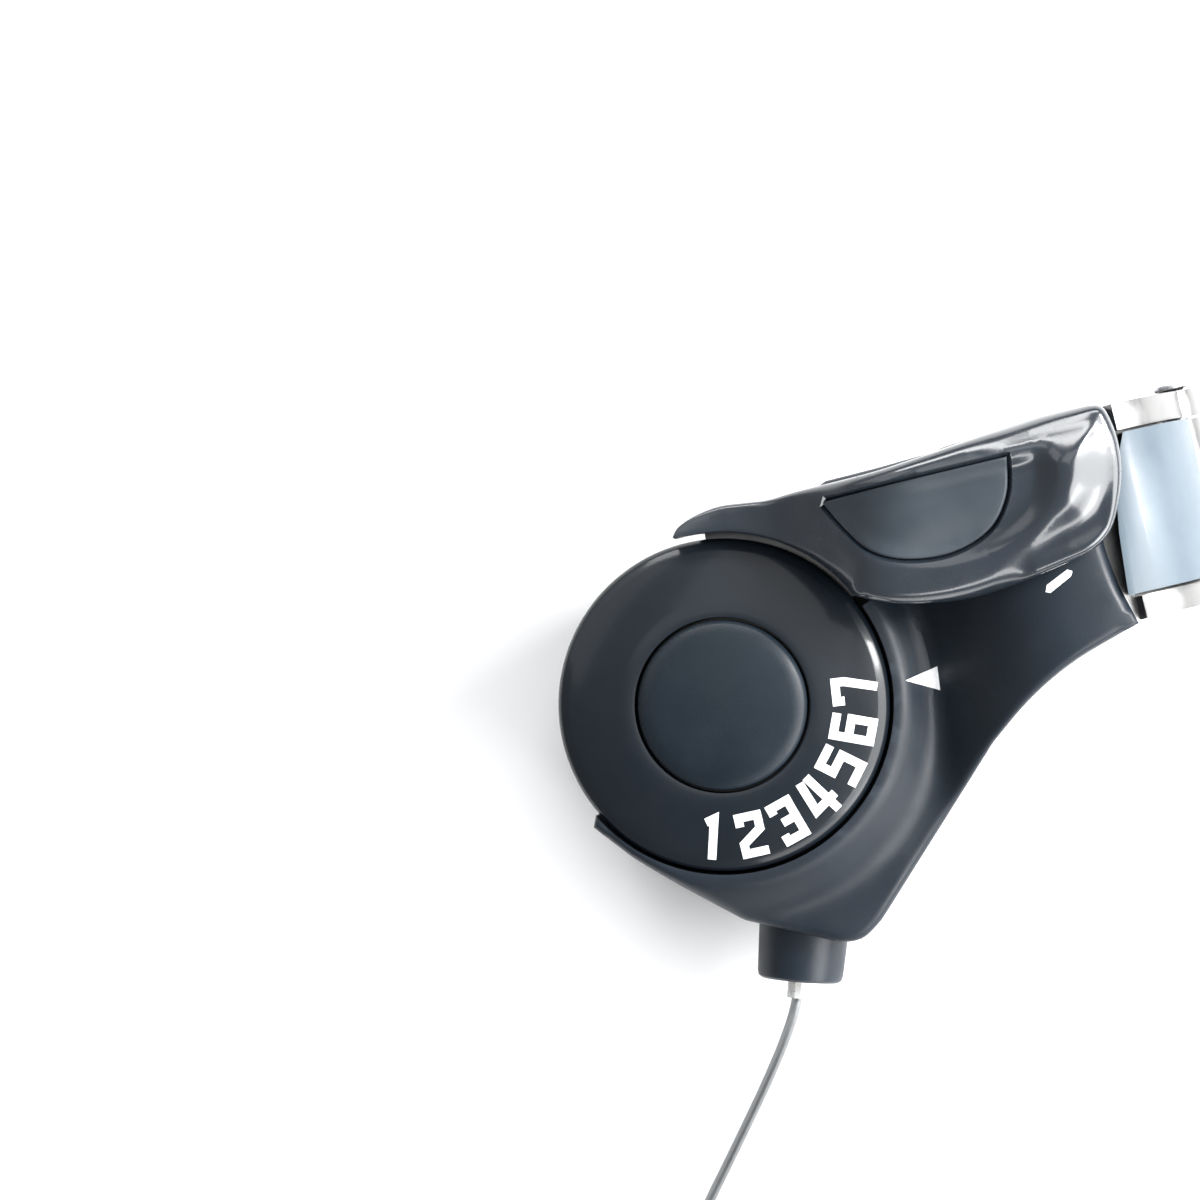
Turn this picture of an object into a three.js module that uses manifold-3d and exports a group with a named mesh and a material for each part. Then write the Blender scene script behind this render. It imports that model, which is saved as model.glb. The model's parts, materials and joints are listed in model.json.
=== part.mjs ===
// A seven-speed top-mounted thumb shifter for a 22.2 mm handlebar, lying on its back.
// Millimetres, +Z up. Everything is drawn around the dial's axis (X = 0, Y = 0), with the
// table at Z = 0 and the handlebar parallel to Y, then moved so that the origin is the
// middle of the underside of the shifter's own box, the free cable left out.

import * as THREE from 'three';
import { mergeVertices } from 'three/addons/utils/BufferGeometryUtils.js';
import Module from 'manifold-3d';

const wasm = await Module();
wasm.setup();

// ---------------------------------------------------------------- driving dimensions

const GAP = 0.3; // between pieces that touch on the real shifter
const RAD = Math.PI / 180;

const GEARS = 7;
const CLICK = 16.8; // degrees of lever turn for each gear

// heights of the stack on the pivot
const COVER_TOP = 1.7;
const BODY_BOTTOM = COVER_TOP + GAP;
const FLOOR_BOTTOM = 4.0;
const FLOOR_TOP = 6.0;
const PLATE_BOTTOM = 7.2;
const PLATE_TOP = 9.2;
const DRUM_TOP = 14.3;
const HUB_BOTTOM = 14.6;
const HUB_TOP = 18.3;
const DIAL_BOTTOM = 18.7;
const DIAL_WEB = 20.6;
const DIAL_WEB_TOP = 22.2;
const DIAL_EDGE = 24.4;
const DIAL_TOP = 26.2;
const CAP_TOP = 27.4;

const DIAL_R = 17.9;
const CAP_R = 9.1;
const AXLE_R = 3.0;
const DRUM_R = 10.0; // radius of the cable's centre line on the drum
const PLATE_R = 14.0;
const CAVITY_R = 15.6;
const POCKET_R = 18.3; // round pocket that the dial turns in
const SWEEP_R = 22.3; // reach of the lever's collar around the dial
const SHOULDER = 14.2; // top of the housing under the lever's collar

const BODY_TOP = 19.0;
const COLLAR_TOP = 24.0;
const COLLAR_R = 25.8; // where the collar's slope meets the body

// cable outlet
const CABLE_Z = 12.0;
const CABLE_R = 0.6;
const CABLE_ANGLE = -108.1;
const NOSE_END = 29.6; // along the cable, from the point where it leaves the drum

// handlebar clamp
const RING_X = 41.0;
const RING_Z = 16.5;
const BAR_R = 11.1;
const WEB_R = 12.3;
const RAIL_R = 14.2;
const PAD_R = 15.0;
const SADDLE_R = WEB_R + GAP;
const CLAMP_Y0 = -1.5;
const CLAMP_Y1 = 21.5;
const RAIL_W = 2.5;
const PIN_X = 54.6;
const PIN_Z = 16.0;
const PIN_R = 1.25;
const LUG_R = 2.4;
const BOLT_X = 25.4;
const BOLT_Y = 10.0;
const BOLT_R = 2.5;
const TAB_BOTTOM = 9.6;
const TAB_TOP = 11.4;
const ARM_BOTTOM = 13.0;

// lever
const LEVER_R0 = 18.5;
const LEVER_R1 = 21.3;
const LEVER_A0 = 26;
const LEVER_A1 = 93;
const LEVER_TOP = 38.5;
const SCOOP = 1.4; // depth of the scooped thumb face
const RECESS = 1.3; // depth of the recess in it that holds the pad
const PAD_GAP = 0.4; // between the pad and the recess's wall
const PADDLE_BOTTOM = 26.0; // above the collar and below the whole thumb face

// free cable
const COIL_X = -22.4;
const COIL_Y = -76.0;
const COIL_MID_R = 10.75;
const COIL_HALF_W = 3.3;
const COIL_BOTTOM = 0.8;
const COIL_TOP = 8.6;

// ---------------------------------------------------------------- helpers

function toSolid(geometry) {
  const bare = geometry.clone();
  bare.deleteAttribute('normal');
  bare.deleteAttribute('uv');
  const merged = mergeVertices(bare, 1e-4);
  const index = merged.index.array;
  const triVerts = [];
  for (let i = 0; i < index.length; i += 3) {
    const [a, b, c] = index.slice(i, i + 3);
    if (a !== b && b !== c && c !== a) triVerts.push(a, b, c);
  }
  return new wasm.Manifold(new wasm.Mesh({
    numProp: 3,
    vertProperties: new Float32Array(merged.attributes.position.array),
    triVerts: new Uint32Array(triVerts),
  }));
}

function toGeometry(solid) {
  const mesh = solid.getMesh();
  const geometry = new THREE.BufferGeometry();
  geometry.setAttribute('position', new THREE.BufferAttribute(mesh.vertProperties, 3));
  geometry.setIndex(new THREE.BufferAttribute(mesh.triVerts, 1));
  geometry.computeVertexNormals();
  return geometry;
}

function joined(...solids) {
  return solids.reduce((whole, next) => whole.add(next));
}

function cut(solid, ...tools) {
  return tools.reduce((whole, tool) => whole.subtract(tool), solid);
}

function polar(r, degrees) {
  return new THREE.Vector2(r * Math.cos(degrees * RAD), r * Math.sin(degrees * RAD));
}

// A plan outline pulled up from z0 to z1.
function plate(shape, z0, z1, curveSegments = 3) {
  const options = { depth: z1 - z0, bevelEnabled: false, curveSegments };
  return toSolid(new THREE.ExtrudeGeometry(shape, options).translate(0, 0, z0));
}

// An outline drawn in X and Z, pulled along Y from y0 to y1.
function beam(shape, y0, y1, curveSegments = 3) {
  const options = { depth: y1 - y0, bevelEnabled: false, curveSegments };
  const geometry = new THREE.ExtrudeGeometry(shape, options);
  return toSolid(geometry.rotateX(Math.PI / 2).translate(0, y1, 0));
}

// An outline drawn in Y and Z, pulled along X from x0 to x1.
function rib(shape, x0, x1, curveSegments = 3) {
  const options = { depth: x1 - x0, bevelEnabled: false, curveSegments };
  const geometry = new THREE.ExtrudeGeometry(shape, options);
  return toSolid(geometry.rotateX(Math.PI / 2).rotateZ(Math.PI / 2).translate(x0, 0, 0));
}

function box(x0, x1, y0, y1, z0, z1) {
  const geometry = new THREE.BoxGeometry(x1 - x0, y1 - y0, z1 - z0);
  return toSolid(geometry.translate((x0 + x1) / 2, (y0 + y1) / 2, (z0 + z1) / 2));
}

// A turned piece: its profile is a list of [radius, height], anticlockwise.
function turned(profile, segments = 20) {
  const points = profile.map(([r, z]) => new THREE.Vector2(r, z));
  return toSolid(new THREE.LatheGeometry(points, segments).rotateX(Math.PI / 2));
}

function disc(r, z0, z1, segments = 20) {
  return turned([[0, z0], [r, z0], [r, z1], [0, z1]], segments);
}

function tube(r0, r1, z0, z1, segments = 20) {
  return turned([[r0, z0], [r1, z0], [r1, z1], [r0, z1], [r0, z0]], segments);
}

// A turned piece laid along a line: its height axis runs from a point in a direction.
function along(solid, from, direction) {
  const turn = new THREE.Quaternion().setFromUnitVectors(
    new THREE.Vector3(0, 0, 1), direction.clone().normalize());
  const matrix = new THREE.Matrix4().compose(from, turn, new THREE.Vector3(1, 1, 1));
  return solid.transform(Array.from(matrix.elements));
}

function polygon(points) {
  return new THREE.Shape(points.map(([x, y]) => new THREE.Vector2(x, y)));
}

// A ring sector between two radii and two angles, as a shape.
function sector(r0, r1, a0, a1, cx = 0, cy = 0) {
  const shape = new THREE.Shape();
  shape.absarc(cx, cy, r1, a0 * RAD, a1 * RAD, false);
  shape.absarc(cx, cy, r0, a1 * RAD, a0 * RAD, true);
  shape.closePath();
  return shape;
}

function splined(shape, points) {
  shape.splineThru(points.map(([x, y]) => new THREE.Vector2(x, y)));
}

const finishes = {
  blackPlastic: [0x30363d, 0.45, 0.0],
  dialPlastic: [0x2e3338, 0.55, 0.0],
  leverPlastic: [0x3c444c, 0.3, 0.0],
  padRubber: [0x42494f, 0.5, 0.0],
  greyPlastic: [0x8798a3, 0.4, 0.0],
  steel: [0xb9bcbf, 0.35, 1.0],
  brass: [0xb08d4f, 0.4, 1.0],
  nylon: [0xe8e6dc, 0.5, 0.0],
  clearPlastic: [0xd7dde0, 0.25, 0.0],
};

const group = new THREE.Group();

function part(name, solid, finish) {
  const [color, roughness, metalness] = finishes[finish];
  const material = new THREE.MeshStandardMaterial({ color, roughness, metalness });
  const mesh = new THREE.Mesh(toGeometry(solid), material);
  mesh.name = name;
  group.add(mesh);
  return mesh;
}

// ---------------------------------------------------------------- directions of the cable

const cableDirection = new THREE.Vector3(...polar(1, CABLE_ANGLE), 0);
const cableStart = new THREE.Vector3(...polar(DRUM_R, CABLE_ANGLE + 90), CABLE_Z);

function onCable(distance) {
  return cableStart.clone().addScaledVector(cableDirection, distance);
}

function cableTube(r0, r1, start, end, segments) {
  return along(tube(r0, r1, 0, end - start, segments), onCable(start), cableDirection);
}

function cableRod(r, start, end, segments) {
  return along(disc(r, 0, end - start, segments), onCable(start), cableDirection);
}

// ---------------------------------------------------------------- housing

// The housing from above: a round wall under the dial on the left, a straight lower right
// edge, and an arm that runs out over the handlebar.
function housingOutline() {
  const shape = new THREE.Shape();
  shape.moveTo(-16.8, -9.6);
  splined(shape, [[-14.4, -12.6], [-12.2, -15.0], [-3.6, -23.2]]);
  shape.lineTo(6.0, -28.0);
  splined(shape, [[8.4, -28.1], [10.8, -26.7]]);
  shape.lineTo(27.2, -10.6);
  splined(shape, [[32.4, -6.8], [38.0, -4.0], [45.2, -1.8]]);
  splined(shape, [[44.0, 3.0], [43.6, 8.0], [44.8, 14.0], [46.8, 21.2]]);
  shape.lineTo(16.0, 21.0);
  shape.lineTo(...polar(17.4, 72));
  shape.absarc(0, 0, 17.4, 72 * RAD, 205 * RAD, false);
  return shape;
}

// The housing from the side: flat beside the dial, rising to a saddle over the handlebar.
function armProfile() {
  const shape = new THREE.Shape();
  shape.moveTo(-30, BODY_BOTTOM);
  shape.lineTo(60, BODY_BOTTOM);
  shape.lineTo(60, 29.0);
  shape.lineTo(47.2, 29.9);
  splined(shape, [
    [41, 31.1], [37, 31.0], [33, 29.7], [29, 27.0], [25, 23.2], [21, 20.1], [17, BODY_TOP]]);
  shape.lineTo(-30, BODY_TOP);
  return shape;
}

const DETENT_ANGLE = -52;
const DETENT_Z = (PLATE_BOTTOM + PLATE_TOP) / 2;
const detentDirection = new THREE.Vector3(...polar(1, DETENT_ANGLE), 0);

function detentAt(r) {
  return detentDirection.clone().multiplyScalar(r).setZ(DETENT_Z);
}

const COVER_SCREWS = [[-13.2, -4.8], [4.0, -24.0], [20.0, -13.6]];

function coverRegion(z0, z1) {
  return cut(plate(housingOutline(), z0, z1, 8),
    box(17.8, 60, -2.4, 30, -1, 12), box(24, 60, -30, 30, -1, 12), box(8, 60, 16.2, 30, -1, 12));
}

function housing() {
  const outline = plate(housingOutline(), BODY_BOTTOM, 40, 8);
  const collar = turned([
    [POCKET_R, SHOULDER], [COLLAR_R, SHOULDER], [COLLAR_R, BODY_TOP], [24.4, BODY_TOP + 0.4],
    [23.0, 20.4], [20.6, 22.8], [19.6, COLLAR_TOP - 0.3], [18.9, COLLAR_TOP],
    [POCKET_R, COLLAR_TOP], [POCKET_R, SHOULDER]], 48);
  const nose = along(turned([[0, 0], [6.2, 0], [5.3, 10], [4.7, 17.4], [4.1, 18], [0, 18]], 20),
    onCable(NOSE_END - 18), cableDirection);
  const sweep = plate(sector(1, SWEEP_R, 22, 205), SHOULDER, 45, 12);
  const body = joined(outline.intersect(beam(armProfile(), -30, 30)), outline.intersect(collar));
  const shell = cut(body, sweep).add(nose);
  const pocket = disc(POCKET_R, SHOULDER, 45, 48);
  const cavity = disc(CAVITY_R, FLOOR_TOP, 45, 36);
  const bay = disc(12, 0, FLOOR_BOTTOM, 24);
  const axleHole = disc(AXLE_R + GAP, 0, 10, 16);
  const underArm = joined(box(18, 60, -2.2, 30, 0, ARM_BOTTOM), box(24, 60, -30, 30, 0, ARM_BOTTOM),
    box(8, 60, 16.4, 30, 0, ARM_BOTTOM));
  const bar = along(disc(SADDLE_R, 0, 60, 40), new THREE.Vector3(RING_X, -20, RING_Z),
    new THREE.Vector3(0, 1, 0));
  const boltHole = onBolt(disc(BOLT_R + GAP, 9.4, 21.4, 16));
  const nutSlot = box(BOLT_X - 4.0, BOLT_X + 2.6, BOLT_Y - 4.2, 30, 15.2, 19.0);
  const cableHole = cableRod(1.7, 3, 26, 10);
  const stopSeat = cableRod(3.2, NOSE_END - 7.4, NOSE_END + 1, 16);
  const detentBore = along(disc(3.0, 0, 30, 14), detentAt(12), detentDirection);
  const screwHoles = COVER_SCREWS.map(([x, y]) => disc(1.6, 0, 5.9, 10).translate([x, y, 0]));
  const saddleScrews = SADDLE_SCREWS.map((y) => along(disc(1.6, 0, 4.6, 12), saddleAt(y, 12),
    saddleDirection));
  return cut(shell, pocket, cavity, bay, axleHole, underArm, bar, boltHole, nutSlot, cableHole,
    stopSeat, detentBore, ...screwHoles, ...saddleScrews);
}

function baseCover() {
  const holes = COVER_SCREWS.map(([x, y]) => turned(
    [[0, -1], [3.1, -1], [3.1, 0.2], [1.7, 1.4], [1.7, 3], [0, 3]], 12).translate([x, y, 0]));
  return cut(coverRegion(0, COVER_TOP), ...holes);
}

// A countersunk screw standing on its head, with a cross slot.
function coverScrew(x, y) {
  const screw = turned([[0, 0.1], [2.7, 0.1], [1.3, 1.3], [1.3, 5.6], [0, 5.6]], 12);
  const slots = joined(box(-1.7, 1.7, -0.3, 0.3, -1, 0.8), box(-0.3, 0.3, -1.7, 1.7, -1, 0.8));
  return cut(screw, slots).translate([x, y, 0]);
}

// ---------------------------------------------------------------- pivot stack

function pivotAxle() {
  const flange = toSolid(new THREE.CylinderGeometry(5.6, 5.6, 1.5, 6)
    .rotateX(Math.PI / 2).translate(0, 0, BODY_BOTTOM + 1.05));
  const shank = disc(AXLE_R, BODY_BOTTOM + 0.5, 21.9, 16);
  return cut(flange.add(shank), disc(1.8, 12.0, 30, 12));
}

function pivotScrew() {
  const screw = turned([
    [0, 14], [1.5, 14], [1.5, 23.2], [4.6, 23.2], [4.6, 24.6], [4.0, 25.1], [0, 25.1]], 16);
  return cut(screw, box(-2.4, 2.4, -0.4, 0.4, 24.2, 26), box(-0.4, 0.4, -2.4, 2.4, 24.2, 26));
}

// A wavy spring washer: a flat ring bent up and down three times as it goes round.
function waveWasher() {
  const [r0, r1, half, wave] = [3.6, 6.6, 0.15, 0.35];
  const section = [[r0, -half], [r1, -half], [r1, half], [r0, half], [r0, -half]];
  const geometry = new THREE.LatheGeometry(section.map(([r, z]) => new THREE.Vector2(r, z)), 36);
  const place = geometry.rotateX(Math.PI / 2).attributes.position;
  const middle = (HUB_TOP + DIAL_WEB) / 2;
  for (let i = 0; i < place.count; i += 1) {
    const angle = Math.atan2(place.getY(i), place.getX(i));
    place.setZ(i, middle + place.getZ(i) + wave * Math.sin(3 * angle));
  }
  return toSolid(geometry);
}

// The notched plate that the ball clicks into, one notch for each gear.
function indexPlate() {
  const notches = Array.from({ length: GEARS }, (_, gear) => {
    const at = polar(PLATE_R + 0.9, DETENT_ANGLE - gear * CLICK);
    return disc(1.9, 0, 6, 10).translate([at.x, at.y, PLATE_BOTTOM - 2]);
  });
  const dogs = [90, 270].map((angle) => disc(1.5, 0, 6, 10)
    .translate([...polar(6.5, angle), PLATE_BOTTOM - 2]));
  return cut(tube(AXLE_R + GAP, PLATE_R, PLATE_BOTTOM, PLATE_TOP, 40), ...notches, ...dogs);
}

const WRAP = 40; // degrees of cable on the drum with the cable fully let out
const HEAD_ANGLE = CABLE_ANGLE + 90 + WRAP + 6;

function cableDrum() {
  const bottom = PLATE_TOP + GAP;
  const wheel = turned([
    [AXLE_R + GAP, bottom], [12.4, bottom], [12.4, 10.6], [DRUM_R - 0.9, CABLE_Z - 0.5],
    [DRUM_R - 0.9, CABLE_Z + 0.5], [12.4, 13.4], [12.4, DRUM_TOP], [AXLE_R + GAP, DRUM_TOP],
    [AXLE_R + GAP, bottom]], 32);
  const pocketAt = polar(DRUM_R, HEAD_ANGLE);
  const pocket = disc(2.5, 9.9, 19.9, 12).translate([pocketAt.x, pocketAt.y, 0]);
  const dogs = [90, 270].map((angle) => disc(1.2, 0, 2.6, 8)
    .translate([...polar(6.5, angle), PLATE_BOTTOM + 0.2]));
  return joined(cut(wheel, pocket), ...dogs);
}

function cableHead() {
  const at = polar(DRUM_R, HEAD_ANGLE);
  return disc(2.1, 10.2, 14.1, 12).translate([at.x, at.y, 0]);
}

function cableWrap() {
  const start = CABLE_ANGLE + 90 + 2;
  const end = HEAD_ANGLE - 15;
  const shape = sector(DRUM_R - CABLE_R, DRUM_R + CABLE_R, start, end);
  return plate(shape, CABLE_Z - 0.5, CABLE_Z + 0.5, 5);
}

// ---------------------------------------------------------------- lever and dial

// The lever from above: a curved tail round the dial and a long rounded paddle.
function leverOutline() {
  const shape = new THREE.Shape();
  const inner = polar(LEVER_R0, LEVER_A0);
  shape.moveTo(inner.x, inner.y);
  splined(shape, [[18.2, 7.3], [21.0, 6.2], [24.4, 5.4], [29.2, 4.9], [35.0, 5.4], [39.6, 6.2]]);
  splined(shape, [[42.4, 6.9], [44.6, 8.5], [46.2, 11.4], [47.2, 14.4], [47.5, 17.6], [47.1, 20.4]]);
  splined(shape, [[46.4, 21.5], [45.2, 21.8]]);
  splined(shape, [[39.2, 21.8], [33.0, 21.2], [27.2, 20.6], [21.4, 20.2], [13.4, 20.3]]);
  splined(shape, [[10.0, 20.2], [7.4, 20.5], [4.6, 20.9], [1.8, 20.9], [-0.2, 20.6]]);
  shape.lineTo(...polar(20.0, LEVER_A1));
  shape.lineTo(...polar(LEVER_R0, LEVER_A1));
  shape.absarc(0, 0, LEVER_R0, LEVER_A1 * RAD, LEVER_A0 * RAD, true);
  return shape;
}

// The lever from the side: a low collar round the dial that climbs to the thumb paddle.
function leverProfile() {
  const shape = new THREE.Shape();
  shape.moveTo(-6, HUB_BOTTOM);
  shape.lineTo(22.1, HUB_BOTTOM);
  shape.lineTo(22.1, 24.3);
  shape.lineTo(25.2, 24.5);
  splined(shape, [
    [28.0, 26.9], [32.0, 30.1], [36.0, 31.8], [40.0, 32.1], [44.0, 32.1], [47.6, 32.8]]);
  splined(shape, [[48.0, 34.6], [46.0, 36.6], [42.0, 38.1], [37.0, LEVER_TOP]]);
  splined(shape, [
    [30.0, LEVER_TOP], [24.0, 37.8], [19.5, 35.6], [15.0, 31.6], [10.5, 28.2], [5.0, 26.6],
    [-6, 25.8]]);
  return shape;
}

// The lever from its end: a crest along the far edge and a face that falls to the near edge.
function leverSection() {
  return polygon([
    [3.8, HUB_BOTTOM - 1], [3.8, 31.8], [5.4, 33.6], [8.6, 35.0], [19.8, LEVER_TOP],
    [21.6, LEVER_TOP - 0.9], [22.4, LEVER_TOP - 3], [22.4, HUB_BOTTOM - 1]]);
}

// The scooped thumb face from above.
function scoopOutline() {
  const shape = new THREE.Shape();
  shape.moveTo(13.0, 19.3);
  splined(shape, [[15.8, 14.6], [18.6, 10.9], [22.6, 8.9], [28.0, 8.2], [34.0, 8.8]]);
  splined(shape, [[38.6, 11.0], [41.0, 14.4], [41.8, 19.2]]);
  shape.lineTo(13.0, 19.3);
  return shape;
}

// The recess in the thumb face from above, drawn inwards by an inset.
function recessOutline(inset) {
  const shape = new THREE.Shape();
  shape.moveTo(15.4 + inset, 18.6 - inset);
  splined(shape, [[17.4 + inset * 0.8, 14.9], [19.6 + inset * 0.6, 12.0 + inset * 0.6],
    [23.2, 10.3 + inset], [28.0, 9.9 + inset], [32.4 - inset * 0.5, 11.4 + inset],
    [35.0 - inset, 14.6], [36.0 - inset, 18.6 - inset]]);
  shape.lineTo(15.4 + inset, 18.6 - inset);
  return shape;
}

// Takes a skin of even depth off the top of a solid, within an outline.
function sunk(solid, outline, depth) {
  const below = solid.translate([0, 0, -depth]);
  return cut(solid, cut(plate(outline, PADDLE_BOTTOM, 45), below));
}

function scoopedLever() {
  const hub = disc(POCKET_R - 0.9, HUB_BOTTOM, HUB_TOP, 40);
  const bridge = plate(sector(15, LEVER_R1 - 0.4, LEVER_A0 + 1, LEVER_A1), HUB_BOTTOM, HUB_TOP, 8);
  const section = rib(leverSection(), -10, 60).add(box(-10, 24, -5, 30, HUB_BOTTOM - 1, 34));
  const arm = plate(leverOutline(), HUB_BOTTOM, 45)
    .intersect(beam(leverProfile(), -5, 30, 2))
    .intersect(section);
  const reach = plate(sector(1, SWEEP_R - GAP, LEVER_A0 - 2, LEVER_A1 + 2), HUB_BOTTOM - 1, 24.4, 8)
    .add(box(-10, 60, -10, 30, 24.3, 45));
  const blank = cut(joined(hub, bridge, arm.intersect(reach)), disc(5.2, 10, 30, 20));
  return sunk(blank, scoopOutline(), SCOOP);
}

function shiftLever() {
  return sunk(scoopedLever(), recessOutline(0), RECESS);
}

// The pad follows the thumb face: its top lies just below it, all over.
function thumbPad() {
  const face = scoopedLever();
  const column = plate(recessOutline(PAD_GAP), PADDLE_BOTTOM, 45).intersect(face);
  const top = column.intersect(face.translate([0, 0, -0.1]));
  return cut(top, face.translate([0, 0, GAP - RECESS]));
}

function hubBushing() {
  return tube(AXLE_R + GAP, 4.9, HUB_BOTTOM - 0.1, HUB_TOP + 0.1, 20);
}

function numberDial() {
  return turned([
    [AXLE_R + 0.4, DIAL_WEB], [8.4, DIAL_WEB], [8.8, DIAL_BOTTOM], [17.3, DIAL_BOTTOM],
    [DIAL_R, DIAL_BOTTOM + 0.6], [DIAL_R, DIAL_EDGE - 0.7], [DIAL_R - 0.9, DIAL_EDGE + 0.1],
    [13.5, 25.5], [CAP_R + GAP, DIAL_TOP],
    [CAP_R + GAP, DIAL_WEB_TOP], [AXLE_R + 0.4, DIAL_WEB_TOP], [AXLE_R + 0.4, DIAL_WEB]], 48);
}

function dialCap() {
  const bottom = DIAL_WEB_TOP + GAP;
  return turned([
    [7.9, bottom], [CAP_R, bottom], [CAP_R, DIAL_TOP - 0.1], [CAP_R - 0.5, DIAL_TOP + 0.5],
    [6, 27.1], [3, 27.35], [0, CAP_TOP], [0, 25.7], [7.9, 25.5], [7.9, bottom]], 32);
}

// ---------------------------------------------------------------- detent

const BALL_R = 1.5;
const BALL_AT = PLATE_R + BALL_R + 0.15;

function detentBall() {
  return toSolid(new THREE.SphereGeometry(BALL_R, 12, 8)).translate(detentAt(BALL_AT).toArray());
}

function detentSleeve() {
  return along(tube(1.9, 2.6, 0, 7.6, 14), detentAt(15.4), detentDirection);
}

class Helix extends THREE.Curve {
  constructor(radius, height, turns) {
    super();
    Object.assign(this, { radius, height, turns });
  }

  getPoint(t, target = new THREE.Vector3()) {
    const angle = t * this.turns * 2 * Math.PI;
    return target.set(this.radius * Math.cos(angle), this.radius * Math.sin(angle), t * this.height);
  }
}

function detentSpring() {
  const wire = polygon([0, 1, 2, 3, 4].map((i) => polar(0.22, i * 72).toArray()));
  const geometry = new THREE.ExtrudeGeometry(wire, {
    steps: 44, bevelEnabled: false, extrudePath: new Helix(1.2, 4.9, 5),
  });
  return along(toSolid(geometry), detentAt(17.75), detentDirection);
}

function detentPlug() {
  const plug = cut(disc(2.6, 0, 2.4, 14), box(-1.8, 1.8, -0.35, 0.35, 1.4, 3));
  return along(plug, detentAt(23.3), detentDirection);
}

// ---------------------------------------------------------------- clamp

const SADDLE_SCREWS = [4.5, 15.5];
const SADDLE_ANGLE = 155;
const saddleDirection = new THREE.Vector3(
  Math.cos(SADDLE_ANGLE * RAD), 0, Math.sin(SADDLE_ANGLE * RAD));

function saddleAt(y, r) {
  return new THREE.Vector3(RING_X, y, RING_Z).addScaledVector(saddleDirection, r);
}

function ring(r0, r1, a0, a1, y0, y1, segments = 10) {
  return beam(sector(r0, r1, a0, a1, RING_X, RING_Z), y0, y1, segments);
}

function pinRod(r, y0, y1, segments = 14) {
  return along(disc(r, 0, y1 - y0, segments), new THREE.Vector3(PIN_X, y0, PIN_Z),
    new THREE.Vector3(0, 1, 0));
}

// the space between the two rails
const BETWEEN_Y0 = CLAMP_Y0 + RAIL_W + GAP;
const BETWEEN_Y1 = CLAMP_Y1 - RAIL_W - 0.7;

// Stamped half ring: a web against the bar and two rails standing up from its edges,
// which end in the lugs of the hinge.
function clampBracket() {
  const near = [CLAMP_Y0, CLAMP_Y0 + RAIL_W];
  const far = [CLAMP_Y1 - RAIL_W - 0.4, CLAMP_Y1];
  const web = ring(BAR_R, WEB_R, 14, 178, CLAMP_Y0, CLAMP_Y1, 18);
  const rails = joined(
    ring(WEB_R - 0.3, RAIL_R, 6, 68.5, ...near, 7), ring(WEB_R - 0.3, RAIL_R, 6, 61.5, ...far, 7),
    ring(BAR_R, RAIL_R, 6, 18, ...near, 2), ring(BAR_R, RAIL_R, 6, 18, ...far, 2));
  const lugs = joined(pinRod(LUG_R, ...near), pinRod(LUG_R, ...far));
  const screws = SADDLE_SCREWS.map((y) => along(
    turned([[0, 0], [2.9, 0], [2.9, 0.4], [1.6, 1.4], [1.6, 4], [0, 4]], 12), saddleAt(y, BAR_R - 0.2),
    saddleDirection));
  return cut(joined(web, rails, lugs), pinRod(PIN_R + GAP, -10, 40), ...screws);
}

function clampPad() {
  const block = ring(SADDLE_R, PAD_R, 14.5, 82, BETWEEN_Y0, BETWEEN_Y1, 10);
  const besideArm = polygon([
    [30, -5], [44.6, -5], [44.9, 2.3], [45.4, 8], [46.4, 14], [48.6, 19], [48.6, 30], [30, 30]]);
  return cut(block, plate(besideArm, 10, 40));
}

function hingePin() {
  return joined(pinRod(PIN_R, CLAMP_Y0 - 0.8, CLAMP_Y1 + 0.8),
    pinRod(1.9, CLAMP_Y0 - 1.0, CLAMP_Y0 - 0.3), pinRod(1.9, CLAMP_Y1 + 0.3, CLAMP_Y1 + 1.0));
}

// The hinged lower half of the clamp, with a tab that the bolt pulls up to the arm.
function clampBand() {
  const knuckle = joined(pinRod(LUG_R, BETWEEN_Y0, BETWEEN_Y1),
    ring(BAR_R, WEB_R + 0.6, -16, -4, BETWEEN_Y0, BETWEEN_Y1, 2));
  const half = ring(BAR_R, WEB_R + 0.3, -156, -15, CLAMP_Y0, CLAMP_Y1, 16);
  const rails = joined(ring(WEB_R, WEB_R + 1.5, -120, -24, CLAMP_Y0, CLAMP_Y0 + 1.6, 10),
    ring(WEB_R, WEB_R + 1.5, -120, -24, CLAMP_Y1 - 1.6, CLAMP_Y1, 10));
  const tab = box(20.4, 31.0, 3.0, 17.0, TAB_BOTTOM, TAB_TOP);
  const slot = joined(...[-1.3, 0, 1.3].map((shift) => onBolt(
    disc(BOLT_R + 0.4, TAB_BOTTOM - 3, TAB_TOP + 3, 12)).translate([shift, 0, 0])));
  return cut(joined(knuckle, half, rails, tab), pinRod(PIN_R + GAP, -10, 40), slot);
}

function onBolt(solid) {
  return solid.translate([BOLT_X, BOLT_Y, 0]);
}

function clampBolt() {
  const bolt = turned([
    [0, 4.4], [3.7, 4.4], [4.1, 4.8], [4.1, 8.3], [BOLT_R, 8.3], [BOLT_R, 20.2], [0, 20.2]], 16);
  const hexagon = new THREE.CylinderGeometry(2.3, 2.3, 4, 6);
  return onBolt(cut(bolt, toSolid(hexagon.rotateX(Math.PI / 2).translate(0, 0, 4.6))));
}

function clampNut() {
  const block = box(BOLT_X - 3.7, BOLT_X + 2.3, BOLT_Y - 3.9, BOLT_Y + 3.9, 15.5, 18.7);
  return cut(block, onBolt(disc(BOLT_R + GAP, 10, 24, 16)));
}

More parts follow.
